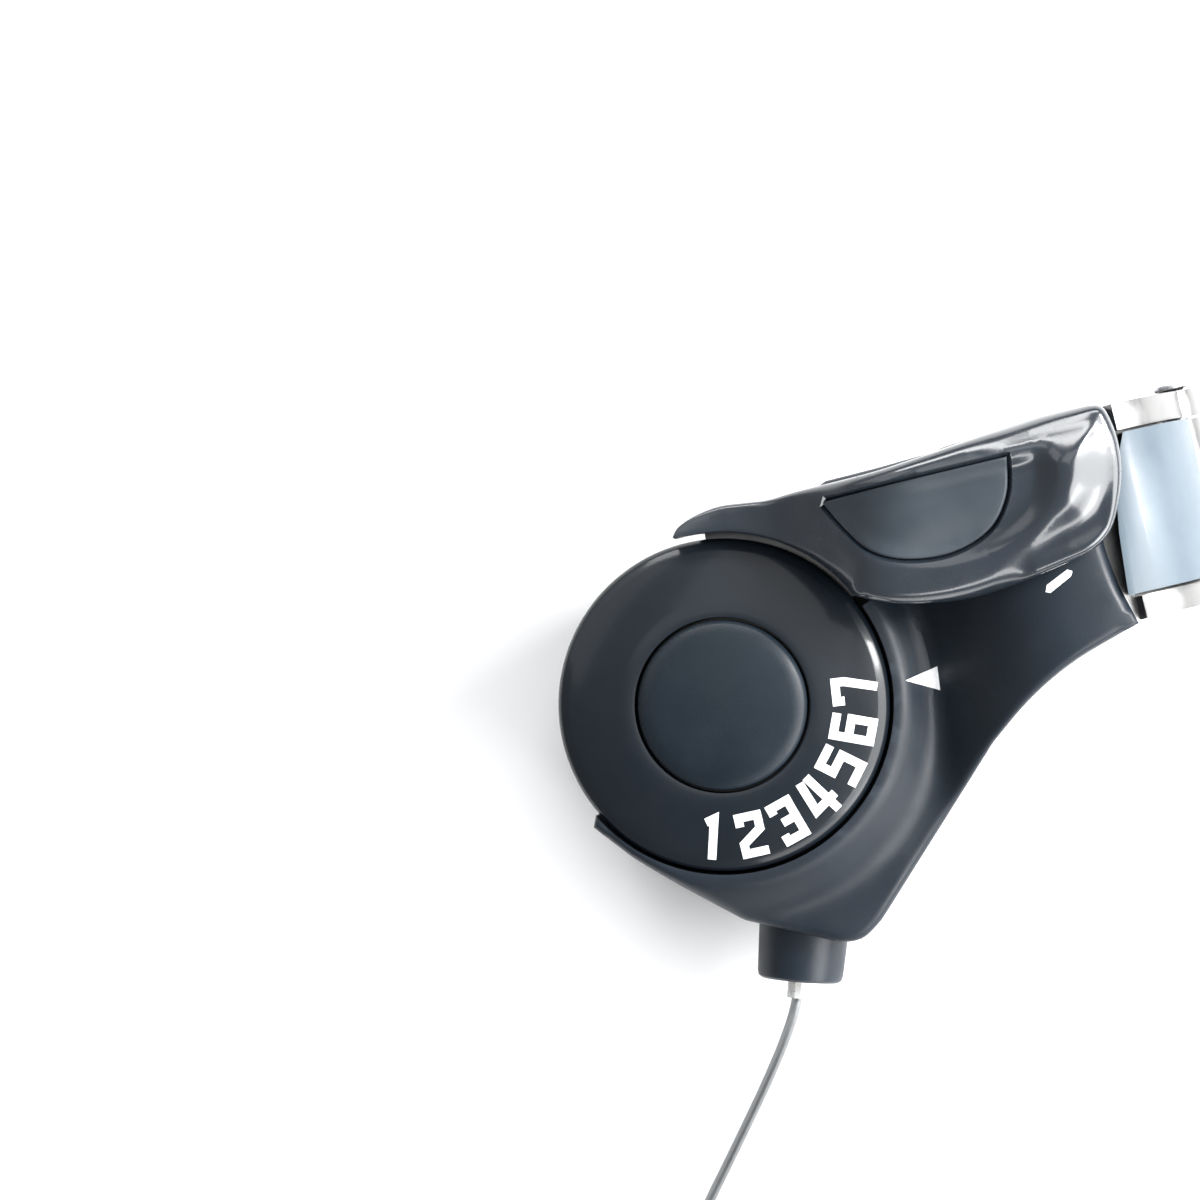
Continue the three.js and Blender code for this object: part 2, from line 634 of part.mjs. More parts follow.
function saddleScrew(y) {
  const screw = cut(turned([[0, 0.2], [2.5, 0.2], [1.3, 1.4], [1.3, 5.0], [0, 5.0]], 12),
    box(-1.6, 1.6, -0.3, 0.3, -1, 0.7));
  return along(screw, saddleAt(y, BAR_R - 0.1), saddleDirection);
}

// ---------------------------------------------------------------- free cable

// From inside the outlet, down to the table, and away to the coil.
const CABLE_ROUTE = [
  onCable(24.3), onCable(27), onCable(NOSE_END), new THREE.Vector3(-1.2, -34.6, 11.8),
  new THREE.Vector3(-3.4, -38.0, 10.8), new THREE.Vector3(-6.6, -42.2, 8.8),
  new THREE.Vector3(-10.2, -46.6, 6.2), new THREE.Vector3(-14.2, -51.4, 3.6),
  new THREE.Vector3(-18.4, -56.2, 1.7), new THREE.Vector3(-23.2, -59.8, 0.8),
  new THREE.Vector3(-28.6, -61.6, 0.7), new THREE.Vector3(-33.6, -64.6, 0.7),
  new THREE.Vector3(-37.0, -69.2, 0.9), new THREE.Vector3(-38.2, -74.6, 1.1),
];

function innerCable() {
  const wire = polygon([0, 1, 2, 3, 4, 5, 6, 7].map((i) => polar(CABLE_R, i * 45).toArray()));
  const extrudePath = new THREE.CatmullRomCurve3(CABLE_ROUTE, false, 'centripetal');
  return toSolid(new THREE.ExtrudeGeometry(wire, { steps: 32, bevelEnabled: false, extrudePath }));
}

function cableCoil() {
  const inner = COIL_MID_R - COIL_HALF_W;
  const outer = COIL_MID_R + COIL_HALF_W;
  return tube(inner, outer, COIL_BOTTOM, COIL_TOP, 32).translate([COIL_X, COIL_Y, 0]);
}

const TIE_ANGLE = -60;

// A flat tie, closed around the coil's turns.
function coilTie() {
  const inner = COIL_MID_R - COIL_HALF_W;
  const outer = COIL_MID_R + COIL_HALF_W;
  const loop = cut(box(inner - 1.0, outer + 1.0, -1.6, 1.6, 0, COIL_TOP + 0.9),
    box(inner - 0.5, outer + 0.5, -5, 5, COIL_BOTTOM - 0.3, COIL_TOP + 0.4));
  return loop.rotate([0, 0, TIE_ANGLE]).translate([COIL_X, COIL_Y, 0]);
}

function cableEndCap() {
  const from = new THREE.Vector3(COIL_X + COIL_MID_R + COIL_HALF_W + 1.8, COIL_Y - 3, 0.95);
  const cap = turned([[0, 0], [0.9, 0], [0.9, 9.4], [0.5, 10], [0, 10]], 12);
  return along(cap, from, new THREE.Vector3(0.1, 1, 0));
}

// ---------------------------------------------------------------- assembly

part('housing', housing(), 'blackPlastic');
part('base_cover', baseCover(), 'blackPlastic');
COVER_SCREWS.forEach(([x, y], i) => part(`cover_screw_${i + 1}`, coverScrew(x, y), 'steel'));
part('pivot_axle', pivotAxle(), 'steel');
part('thrust_washer', tube(AXLE_R + GAP, 7.5, FLOOR_TOP + GAP, PLATE_BOTTOM - GAP, 20), 'nylon');
part('index_plate', indexPlate(), 'steel');
part('cable_drum', cableDrum(), 'nylon');
part('cable_head', cableHead(), 'steel');
part('cable_wrap', cableWrap(), 'steel');
part('shift_lever', shiftLever(), 'leverPlastic');
part('thumb_pad', thumbPad(), 'padRubber');
part('hub_bushing', hubBushing(), 'brass');
part('wave_washer', waveWasher(), 'steel');
part('number_dial', numberDial(), 'dialPlastic');
part('top_washer', tube(2.0, 6.2, DIAL_WEB_TOP + 0.2, 22.9, 20), 'steel');
part('pivot_screw', pivotScrew(), 'steel');
part('dial_cap', dialCap(), 'dialPlastic');
part('detent_ball', detentBall(), 'steel');
part('detent_sleeve', detentSleeve(), 'brass');
part('detent_spring', detentSpring(), 'steel');
part('detent_plug', detentPlug(), 'steel');
part('clamp_bracket', clampBracket(), 'steel');
SADDLE_SCREWS.forEach((y, i) => part(`saddle_screw_${i + 1}`, saddleScrew(y), 'steel'));
part('clamp_pad', clampPad(), 'greyPlastic');
part('hinge_pin', hingePin(), 'steel');
part('clamp_band', clampBand(), 'steel');
part('bolt_washer', onBolt(tube(BOLT_R + GAP, 4.8, 8.6, TAB_BOTTOM - GAP, 20)), 'steel');
part('clamp_bolt', clampBolt(), 'steel');
part('clamp_nut', clampNut(), 'steel');
part('cable_stop', cableTube(2.0, 2.9, NOSE_END - 7.0, NOSE_END - 0.3, 16), 'brass');
part('cable_liner', cableTube(0.9, 1.3, 14, NOSE_END + 2.0, 12), 'clearPlastic');
part('cable_run', cableRod(CABLE_R, 0.4, 24, 8), 'steel');

const cablePieces = [
  part('inner_cable', innerCable(), 'steel'),
  part('cable_coil', cableCoil(), 'steel'),
  part('coil_tie', coilTie(), 'blackPlastic'),
  part('cable_end_cap', cableEndCap(), 'steel'),
];

const ownBox = new THREE.Box3();
for (const mesh of group.children) {
  if (!cablePieces.includes(mesh)) ownBox.expandByObject(mesh);
}
const middle = ownBox.getCenter(new THREE.Vector3());
group.position.set(-middle.x, -middle.y, -ownBox.min.z);

export default group;
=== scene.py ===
"""The looks of a seven-speed thumb shifter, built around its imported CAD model.

Lengths here are millimetres, drawn like the CAD model around the dial's axis, with the
table at height 0; place() turns them into metres in the frame.
"""

import json
import math

import bmesh
import bpy
import numpy as np
from mathutils import Matrix, Vector
from mathutils.geometry import delaunay_2d_cdt


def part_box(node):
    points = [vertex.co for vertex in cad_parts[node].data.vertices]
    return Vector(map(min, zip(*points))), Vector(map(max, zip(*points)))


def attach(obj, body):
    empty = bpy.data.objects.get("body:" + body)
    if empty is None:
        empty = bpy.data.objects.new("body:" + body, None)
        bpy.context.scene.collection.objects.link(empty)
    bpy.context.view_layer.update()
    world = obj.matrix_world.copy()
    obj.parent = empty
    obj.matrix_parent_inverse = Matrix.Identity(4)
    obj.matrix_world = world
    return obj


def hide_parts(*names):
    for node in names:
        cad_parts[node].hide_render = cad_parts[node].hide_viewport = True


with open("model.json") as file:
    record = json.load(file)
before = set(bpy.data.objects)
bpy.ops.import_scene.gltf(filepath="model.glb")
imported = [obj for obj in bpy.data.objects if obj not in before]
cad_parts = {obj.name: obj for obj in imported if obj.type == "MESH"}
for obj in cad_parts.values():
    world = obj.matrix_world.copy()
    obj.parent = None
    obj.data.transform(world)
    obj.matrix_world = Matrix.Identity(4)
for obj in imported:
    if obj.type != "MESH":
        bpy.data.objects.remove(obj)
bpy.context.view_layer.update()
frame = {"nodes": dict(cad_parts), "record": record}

MM = 0.001
JOINTS = {joint["name"]: joint for joint in frame["record"]["behaviour"]["joints"]}
AXIS_X, AXIS_Y, _ = JOINTS["lever_turn"]["pos_m"]


# ------------------------------------------------------------------ places and lines


def place(points):
    """Drawing points in millimetres, as metres in the frame."""
    return np.asarray(points, float) * MM + np.array([AXIS_X, AXIS_Y, 0.0])


def drawn(point):
    """A point of the frame, in metres, as drawing millimetres."""
    return (np.array(point) - np.array([AXIS_X, AXIS_Y, 0.0])) / MM


def extent(node):
    """The lowest and highest corners of a CAD node, in drawing millimetres."""
    low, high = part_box(node)
    return drawn(low), drawn(high)


def polar(radius, degrees):
    """The plan point at a radius and an angle round the origin."""
    angle = math.radians(degrees)
    return np.array([radius * math.cos(angle), radius * math.sin(angle)])


def arc(radius, start, end, step=3.0):
    """Points on a circle round the dial's axis, from one angle to another."""
    count = max(2, int(abs(end - start) / step) + 1)
    return [polar(radius, a) for a in np.linspace(start, end, count)]


def spline(points, per=8):
    """A uniform Catmull-Rom curve through the points."""
    points = [np.array(p, float) for p in points]
    line = []
    for i in range(len(points) - 1):
        before = points[max(i - 1, 0)]
        after = points[min(i + 2, len(points) - 1)]
        for t in np.linspace(0, 1, per, endpoint=False):
            line.append(catmull(before, points[i], points[i + 1], after, t))
    return line + [points[-1]]


def catmull(p0, p1, p2, p3, t):
    """The point a share t of the way from p1 to p2, on a curve that also heeds p0 and p3."""
    v0 = (p2 - p0) / 2
    v1 = (p3 - p1) / 2
    cubic = 2 * p1 - 2 * p2 + v0 + v1
    square = -3 * p1 + 3 * p2 - 2 * v0 - v1
    return cubic * t**3 + square * t**2 + v0 * t + p1


def closed_line(loop):
    """An outline with its first point repeated at its end."""
    return np.vstack([loop, loop[:1]])


def clockwise(outline):
    return np.cross(outline, np.roll(outline, -1, axis=0)).sum() < 0


CORNER_COSINE = 0.85


def resampled(line, step, closed=False):
    """The same line with points about step apart, keeping its ends and sharp corners."""
    line = np.array(line, float)
    if closed:
        line = closed_line(line)
    keep = [0]
    for i in range(1, len(line) - 1):
        a, b = line[i] - line[i - 1], line[i + 1] - line[i]
        turn = a.dot(b) / max(np.linalg.norm(a) * np.linalg.norm(b), 1e-12)
        if turn < CORNER_COSINE:
            keep.append(i)
    keep.append(len(line) - 1)
    out = []
    for start, end in zip(keep, keep[1:]):
        piece = line[start : end + 1]
        gaps = np.linalg.norm(np.diff(piece, axis=0), axis=1)
        run = np.concatenate([[0], np.cumsum(gaps)])
        count = max(1, int(round(run[-1] / step)))
        at = np.linspace(0, run[-1], count, endpoint=False)
        out.extend(zip(*[np.interp(at, run, piece[:, k]) for k in range(piece.shape[1])]))
    if not closed:
        out.append(tuple(line[-1]))
    return np.array(out)


def distance_to(points, line):
    """How far each point is from a polyline, in plan."""
    points, line = np.atleast_2d(points)[:, :2], np.array(line, float)
    best = np.full(len(points), 1e9)
    for a, b in zip(line[:-1], line[1:]):
        step = b - a
        t = np.clip(((points - a) @ step) / max(step @ step, 1e-12), 0, 1)
        gap = np.hypot(*(points - a - t[:, None] * step).T)
        best = np.minimum(best, gap)
    return best


def inside(points, loop):
    """True for each point within a closed outline, in plan."""
    points, loop = np.atleast_2d(points)[:, :2], np.array(loop, float)
    x, y = points.T
    odd = np.zeros(len(points), bool)
    for (x0, y0), (x1, y1) in zip(loop, np.roll(loop, -1, axis=0)):
        crosses = (y0 > y) != (y1 > y)
        if crosses.any():
            odd ^= crosses & (x < (x1 - x0) * (y - y0) / ((y1 - y0) or 1e-12) + x0)
    return odd


def signed(points, loop):
    """Distance outside a closed outline, negative inside it."""
    gap = distance_to(points, closed_line(loop))
    return np.where(inside(points, loop), -gap, gap)


def ease(t):
    """A smooth step from 0 to 1, level at both ends."""
    t = np.clip(t, 0, 1)
    return t * t * (3 - 2 * t)


def lowest(a, b, blend):
    """The smaller of two heights, rounded where they cross."""
    h = np.clip(0.5 + (b - a) / (2 * blend), 0, 1)
    return b * (1 - h) + a * h - blend * h * (1 - h)


def highest(a, b, blend):
    """The larger of two heights, rounded where they cross."""
    return -lowest(-a, -b, blend)


# ------------------------------------------------------------------ camera

VIEW_CENTRE = (-10.25, 14.05, 25.0)
VIEW_WIDTH = 129.0
VIEW_ROLL = -13.5
VIEW_LEAN = 5.0
VIEW_DISTANCE = 600.0


def make_camera():
    right0 = Vector((*polar(1, VIEW_ROLL), 0))
    up = Vector((*polar(1, VIEW_ROLL + 90), 0))
    lean = math.radians(VIEW_LEAN)
    back = right0 * math.sin(lean) + Vector((0, 0, 1)) * math.cos(lean)
    right = up.cross(back)
    data = bpy.data.cameras.new("camera")
    data.sensor_width = 36.0
    data.lens = data.sensor_width * VIEW_DISTANCE / VIEW_WIDTH
    data.clip_start = 0.05
    data.clip_end = 20.0
    camera = bpy.data.objects.new("camera", data)
    bpy.context.collection.objects.link(camera)
    spot = Vector(place(VIEW_CENTRE)) + back * VIEW_DISTANCE * MM
    turn = Matrix((right, up, back)).transposed().to_4x4()
    camera.matrix_world = Matrix.Translation(spot) @ turn
    bpy.context.scene.camera = camera


make_camera()


# ------------------------------------------------------------------ materials


def shader(name, colour, roughness, metallic=0.0):
    """A material with its node tree, its main shader and a texture position in metres."""
    material = bpy.data.materials.new(name)
    material.use_nodes = True
    tree = material.node_tree
    main = tree.nodes["Principled BSDF"]
    main.inputs["Base Color"].default_value = (*colour, 1.0)
    main.inputs["Roughness"].default_value = roughness
    main.inputs["Metallic"].default_value = metallic
    where = tree.nodes.new("ShaderNodeTexCoord").outputs["Object"]
    return material, tree, main, where


def noise(tree, where, scale, detail=3.0, rough=0.55):
    node = tree.nodes.new("ShaderNodeTexNoise")
    node.inputs["Scale"].default_value = scale
    node.inputs["Detail"].default_value = detail
    node.inputs["Roughness"].default_value = rough
    tree.links.new(where, node.inputs["Vector"])
    return node.outputs["Fac"]


def stretched(tree, where, scale):
    node = tree.nodes.new("ShaderNodeMapping")
    node.inputs["Scale"].default_value = scale
    tree.links.new(where, node.inputs["Vector"])
    return node.outputs["Vector"]


def spread(tree, value, low, high, start=0.0, end=1.0):
    """A value from start to end, carried to one from low to high."""
    node = tree.nodes.new("ShaderNodeMapRange")
    node.inputs["From Min"].default_value = start
    node.inputs["From Max"].default_value = end
    node.inputs["To Min"].default_value = low
    node.inputs["To Max"].default_value = high
    tree.links.new(value, node.inputs["Value"])
    return node.outputs["Result"]


def tinted(tree, main, value, first, second):
    """Base colour between two colours, by a value from 0 to 1."""
    node = tree.nodes.new("ShaderNodeMix")
    node.data_type = "RGBA"
    node.inputs["A"].default_value = (*first, 1.0)
    node.inputs["B"].default_value = (*second, 1.0)
    tree.links.new(value, node.inputs["Factor"])
    tree.links.new(node.outputs["Result"], main.inputs["Base Color"])
    return node


def bumped(tree, main, value, depth_mm):
    node = tree.nodes.new("ShaderNodeBump")
    node.inputs["Distance"].default_value = depth_mm * MM
    tree.links.new(value, node.inputs["Height"])
    tree.links.new(node.outputs["Normal"], main.inputs["Normal"])


def per_mm(count):
    """A noise scale with this many features to the millimetre."""
    return count / MM


def moulded(name, colour, roughness, grain, depth_mm, worn=1.5, gloss=0.0, sheen=0.5):
    """Moulded plastic: a fine grain, a slow drift of colour and edges rubbed a little lighter."""
    material, tree, main, where = shader(name, colour, roughness)
    main.inputs["Specular IOR Level"].default_value = sheen
    main.inputs["Coat Weight"].default_value = gloss
    main.inputs["Coat Roughness"].default_value = 0.14
    drift = noise(tree, where, per_mm(0.06), 2.0)
    mix = tinted(tree, main, spread(tree, drift, 0.0, 1.0, 0.35, 0.65),
                 [c * 0.88 for c in colour], [c * 1.12 for c in colour])
    edge = tree.nodes.new("ShaderNodeNewGeometry").outputs["Pointiness"]
    rub = tree.nodes.new("ShaderNodeMath")
    rub.operation = "MULTIPLY"
    rub.use_clamp = True
    tree.links.new(spread(tree, edge, 0.0, 1.0, 0.52, 0.62), rub.inputs[0])
    tree.links.new(noise(tree, where, per_mm(0.9), 4.0), rub.inputs[1])
    wear = tree.nodes.new("ShaderNodeMix")
    wear.data_type = "RGBA"
    wear.inputs["B"].default_value = (*[min(1.0, c * worn + 0.01) for c in colour], 1.0)
    tree.links.new(rub.outputs[0], wear.inputs["Factor"])
    tree.links.new(mix.outputs["Result"], wear.inputs["A"])
    tree.links.new(wear.outputs["Result"], main.inputs["Base Color"])
    smudge = noise(tree, where, per_mm(0.22), 5.0, 0.6)
    tree.links.new(spread(tree, smudge, roughness - 0.06, roughness + 0.08, 0.3, 0.7),
                   main.inputs["Roughness"])
    bumped(tree, main, noise(tree, where, per_mm(grain), 2.0), depth_mm)
    return material


def metal(name, colour, roughness, stretch, grain, depth_mm=0.0015):
    """Plated or turned metal, its fine marks drawn out along one way."""
    material, tree, main, where = shader(name, colour, roughness, 1.0)
    lines = noise(tree, stretched(tree, where, stretch), per_mm(grain), 4.0)
    tree.links.new(spread(tree, lines, roughness - 0.04, roughness + 0.06, 0.3, 0.7),
                   main.inputs["Roughness"])
    cloud = noise(tree, where, per_mm(0.15), 3.0)
    tinted(tree, main, spread(tree, cloud, 0.0, 1.0, 0.3, 0.7),
           [c * 0.86 for c in colour], [min(1.0, c * 1.06) for c in colour])
    bumped(tree, main, lines, depth_mm)
    return material


HOUSING_BLACK = moulded("housing_black", (0.009, 0.014, 0.021), 0.42, 7.0, 0.010, sheen=0.34)
LEVER_BLACK = moulded("lever_black", (0.014, 0.019, 0.026), 0.24, 2.0, 0.002, gloss=0.9)
PAD_GREY = moulded("pad_grey", (0.026, 0.034, 0.043), 0.42, 8.0, 0.010, sheen=0.4)
DIAL_BLACK = moulded("dial_black", (0.004, 0.007, 0.011), 0.40, 5.5, 0.010, gloss=0.4, sheen=0.2)
CAP_BLACK = moulded("cap_black", (0.006, 0.011, 0.017), 0.38, 6.0, 0.012, sheen=0.28)
CLAMP_GREY = moulded("clamp_grey", (0.078, 0.103, 0.126), 0.36, 3.0, 0.004)
COVER_BLACK = moulded("cover_black", (0.022, 0.024, 0.028), 0.5, 4.0, 0.015)
TIE_BLACK = moulded("tie_black", (0.02, 0.02, 0.022), 0.45, 3.0, 0.01)
NYLON = moulded("nylon", (0.72, 0.70, 0.64), 0.45, 3.0, 0.004)
ZINC = metal("zinc", (0.25, 0.25, 0.247), 0.34, (1.0, 0.15, 1.0), 5.0, 0.0006)
SCREW_STEEL = metal("screw_steel", (0.55, 0.56, 0.58), 0.28, (1.0, 1.0, 1.0), 4.0)
TURNED_STEEL = metal("turned_steel", (0.52, 0.53, 0.55), 0.32, (1.0, 1.0, 6.0), 3.0)
BRASS = metal("brass", (0.70, 0.52, 0.24), 0.30, (1.0, 1.0, 6.0), 3.0)
CAP_ALUMINIUM = metal("cap_aluminium", (0.80, 0.81, 0.83), 0.30, (1.0, 0.2, 1.0), 3.0)


def make_print_white():
    material, tree, main, where = shader("print_white", (0.86, 0.87, 0.88), 0.45)
    tinted(tree, main, spread(tree, noise(tree, where, per_mm(3.0), 4.0), 0.0, 1.0, 0.3, 0.7),
           (0.80, 0.81, 0.82), (0.90, 0.91, 0.92))
    return material


def make_strand():
    """Drawn wire strand: fine ridges that wind along the cable, by its own unrolled map, with
    painted shade darkening the grooves between them.
    """
    material, tree, main, _ = shader("strand", (0.56, 0.57, 0.59), 0.27, 1.0)
    around = tree.nodes.new("ShaderNodeUVMap").outputs["UV"]
    wave = tree.nodes.new("ShaderNodeTexWave")
    wave.bands_direction = "DIAGONAL"
    wave.inputs["Scale"].default_value = 3.0
    tree.links.new(around, wave.inputs["Vector"])
    bumped(tree, main, wave.outputs["Fac"], 0.05)
    # painted shade: the colour follows the ridges, darker in the grooves between them
    tinted(tree, main, wave.outputs["Fac"], (0.16, 0.165, 0.17), (0.42, 0.43, 0.44))
    return material


def make_clear():
    material, tree, main, where = shader("clear_liner", (0.86, 0.88, 0.88), 0.2)
    main.inputs["Transmission Weight"].default_value = 0.35
    cloud = noise(tree, where, per_mm(0.8), 3.0)
    tree.links.new(spread(tree, cloud, 0.16, 0.34, 0.3, 0.7), main.inputs["Roughness"])
    return material


PRINT_WHITE = make_print_white()
STRAND = make_strand()
CLEAR = make_clear()


# ------------------------------------------------------------------ mesh tools


def new_object(name, points, faces, material):
    """A mesh from drawing points in millimetres."""
    mesh = bpy.data.meshes.new(name)
    mesh.from_pydata(place(points).tolist(), [], [list(map(int, f)) for f in faces])
    mesh.validate()
    obj = bpy.data.objects.new(name, mesh)
    bpy.context.collection.objects.link(obj)
    if material is not None:
        mesh.materials.append(material)
    shade(obj)
    return obj


def shade(obj, degrees=35.0):
    """Smooth shading, with edges sharper than an angle left crisp."""
    obj.data.shade_smooth()
    obj.data.set_sharp_from_angle(angle=math.radians(degrees))


def bake(obj):
    """Turns an object's modifiers into its mesh."""
    graph = bpy.context.evaluated_depsgraph_get()
    mesh = bpy.data.meshes.new_from_object(obj.evaluated_get(graph))
    obj.modifiers.clear()
    obj.data = mesh


def boolean(obj, tools, operation="DIFFERENCE"):
    """Cuts tools out of an object, or joins them to it, and uses them up."""
    for tool in tools:
        modifier = obj.modifiers.new("cut", "BOOLEAN")
        modifier.operation = operation
        modifier.solver = "MANIFOLD"
        modifier.object = tool
        bake(obj)
        bpy.data.objects.remove(tool)
    shade(obj)
    return obj


def rounded(obj, width_mm, segments, degrees):
    """Rounds the edges that are sharper than an angle."""
    modifier = obj.modifiers.new("round", "BEVEL")
    modifier.width = width_mm * MM
    modifier.segments = segments
    modifier.limit_method = "ANGLE"
    modifier.angle_limit = math.radians(degrees)
    bake(obj)
    shade(obj, 50.0)


def turned(name, profile, material, steps=96, frame_at=None):
    """A lathe piece: [radius, height] pairs from axis to axis, or a closed ring of them.

    frame_at is a point and a direction for its axis; without it, it stands on the dial's axis."""
    profile = [np.array(p, float) for p in profile]
    closed = np.allclose(profile[0], profile[-1])
    if closed:
        profile = profile[:-1]
    points, faces, rows = [], [], []
    for r, z in profile:
        if r < 1e-6:
            rows.append([len(points)] * steps)
            points.append((0, 0, z))
        else:
            rows.append(list(range(len(points), len(points) + steps)))
            points.extend((*polar(r, 360 * i / steps), z) for i in range(steps))
    pairs = list(zip(rows, rows[1:])) + ([(rows[-1], rows[0])] if closed else [])
    for low, high in pairs:
        for i in range(steps):
            j = (i + 1) % steps
            face = list(dict.fromkeys([low[i], low[j], high[j], high[i]]))
            if len(face) > 2:
                faces.append(face)
    points = np.array(points, float)
    if frame_at is not None:
        points = laid(points, *frame_at)
    return new_object(name, points, faces, material)


def laid(points, start, direction):
    """Points drawn on the height axis, moved onto a line."""
    turn = Vector((0, 0, 1)).rotation_difference(Vector(direction).normalized()).to_matrix()
    return points @ np.array(turn).T + np.array(start, float)


def prism(name, outline, low, high, material):
    """An outline pulled straight up from one height to another."""
    outline = np.array(outline, float)
    count = len(outline)
    points = [(*spot, level) for level in (low, high) for spot in outline]
    sides = [(i, (i + 1) % count, (i + 1) % count + count, i + count) for i in range(count)]
    faces = [tuple(range(count))[::-1], tuple(range(count, 2 * count)), *sides]
    if clockwise(outline):
        faces = [f[::-1] for f in faces]
    return new_object(name, points, faces, material)


def block(name, low, high, material=None):
    (x0, y0, z0), (x1, y1, z1) = low, high
    return prism(name, [(x0, y0), (x1, y0), (x1, y1), (x0, y1)], z0, z1, material)


def sector(r0, r1, start, end):
    """The outline of a piece of a ring round the dial's axis."""
    return arc(r1, start, end) + arc(r0, end, start)


def grown(loop, gap):
    """A closed anticlockwise outline moved inwards by a gap, with mitred corners."""
    before, after = np.roll(loop, 1, axis=0), np.roll(loop, -1, axis=0)
    a, b = loop - before, after - loop
    a /= np.linalg.norm(a, axis=1)[:, None]
    b /= np.linalg.norm(b, axis=1)[:, None]
    na, nb = np.stack([-a[:, 1], a[:, 0]], 1), np.stack([-b[:, 1], b[:, 0]], 1)
    mid = na + nb
    mid /= np.maximum((mid * mid).sum(1), 0.8)[:, None]
    return loop + 2 * mid * gap


LEAST_SIDE = 0.25


def fitted(loop, radius):
    """Edge radii, made smaller where an outline turns too sharply to be moved in by them.

    Each side has to keep its direction and a least share of its length."""
    radius = radius.copy()
    sides = np.roll(loop, -1, axis=0) - loop
    for _ in range(80):
        moved = grown(loop, radius[:, None])
        left = ((np.roll(moved, -1, axis=0) - moved) * sides).sum(1) / (sides * sides).sum(1)
        tight = left < LEAST_SIDE
        if not tight.any():
            break
        radius[tight | np.roll(tight, -1) | np.roll(tight, 1) | np.roll(tight, 2)] *= 0.9
    return radius


def sheet_faces(loop, extra):
    """Triangles that fill a closed outline through extra points."""
    points = [Vector(p) for p in loop] + [Vector(p) for p in extra]
    edges = [(i, (i + 1) % len(loop)) for i in range(len(loop))]
    made, _, faces, _, _, _ = delaunay_2d_cdt(points, edges, [], 1, 1e-5)
    return np.array([tuple(p) for p in made]), faces


# the gap between a triangle lattice's rows, as a share of the gap between its points
ROW_SHARE = 0.87


def filling(loop, spacing, features, margin):
    """Points inside an outline: an even lattice, with rows that follow the features.

    Each feature's rows take the place of the points that they run through."""
    low, high = loop.min(0), loop.max(0)
    rows = np.arange(low[1], high[1], spacing * ROW_SHARE)
    points = np.array([(x + (spacing / 2 if k % 2 else 0), y)
                       for k, y in enumerate(rows) for x in np.arange(low[0], high[0], spacing)])
    for line, offsets in features:
        line = np.array(line, float)
        tangent = np.gradient(line, axis=0)
        tangent /= np.maximum(np.linalg.norm(tangent, axis=1), 1e-9)[:, None]
        normal = np.stack([-tangent[:, 1], tangent[:, 0]], 1)
        for offset in offsets:
            moved = line + normal * offset
            row = moved[distance_to(moved, line) > abs(offset) * 0.95]
            points = points[distance_to(points, moved) > spacing * 0.5]
            points = np.vstack([points, row])
    gap = distance_to(points, closed_line(loop))
    return points[inside(points, loop) & (gap > margin)]


# how far across an edge's radius each of its loops lies
ROUNDING = np.array([0.0, 0.07, 0.22, 0.45, 0.72, 1.0])


def relief(name, outline, top, bottom, material, spacing, rim, sole, features=()):
    """A closed body with a modelled top and underside, and rounded edges.

    top and bottom give heights for plan points; rim and sole are the two edges' radii, and
    rim may be a function of the outline's points."""
    outer = resampled(outline, spacing * 0.8, closed=True)
    count = len(outer)
    rim = rim(outer) if callable(rim) else np.full(count, float(rim))
    points, faces = [], []

    def skin(height, radius, side):
        radius = fitted(outer, radius)
        loops = [grown(outer, (radius * g)[:, None]) for g in ROUNDING]
        starts = []
        for g, loop in zip(ROUNDING, loops):
            drop = radius * (1 - math.sqrt(1 - (1 - g) ** 2))
            starts.append(len(points))
            points.extend(np.column_stack([loop, height(loop) - side * drop]))
        inner = loops[-1]
        extra = filling(inner, spacing, features if side > 0 else (), spacing * 0.6)
        made, triangles = sheet_faces(inner, extra)
        base = starts[-1]
        heights = height(made[count:])
        first = len(points)
        points.extend(np.column_stack([made[count:], heights]))
        for tri in triangles:
            ids = [base + i if i < count else first + i - count for i in tri]
            faces.append(ids if side > 0 else ids[::-1])
        for low, high in zip(starts, starts[1:]):
            for i in range(count):
                j = (i + 1) % count
                quad = [low + i, low + j, high + j, high + i]
                faces.append(quad if side > 0 else quad[::-1])
        return starts[0]

    upper = skin(top, rim, 1)
    lower = skin(bottom, np.full(count, float(sole)), -1)
    for i in range(count):
        j = (i + 1) % count
        faces.append([lower + i, lower + j, upper + j, upper + i])
    return new_object(name, points, faces, material)


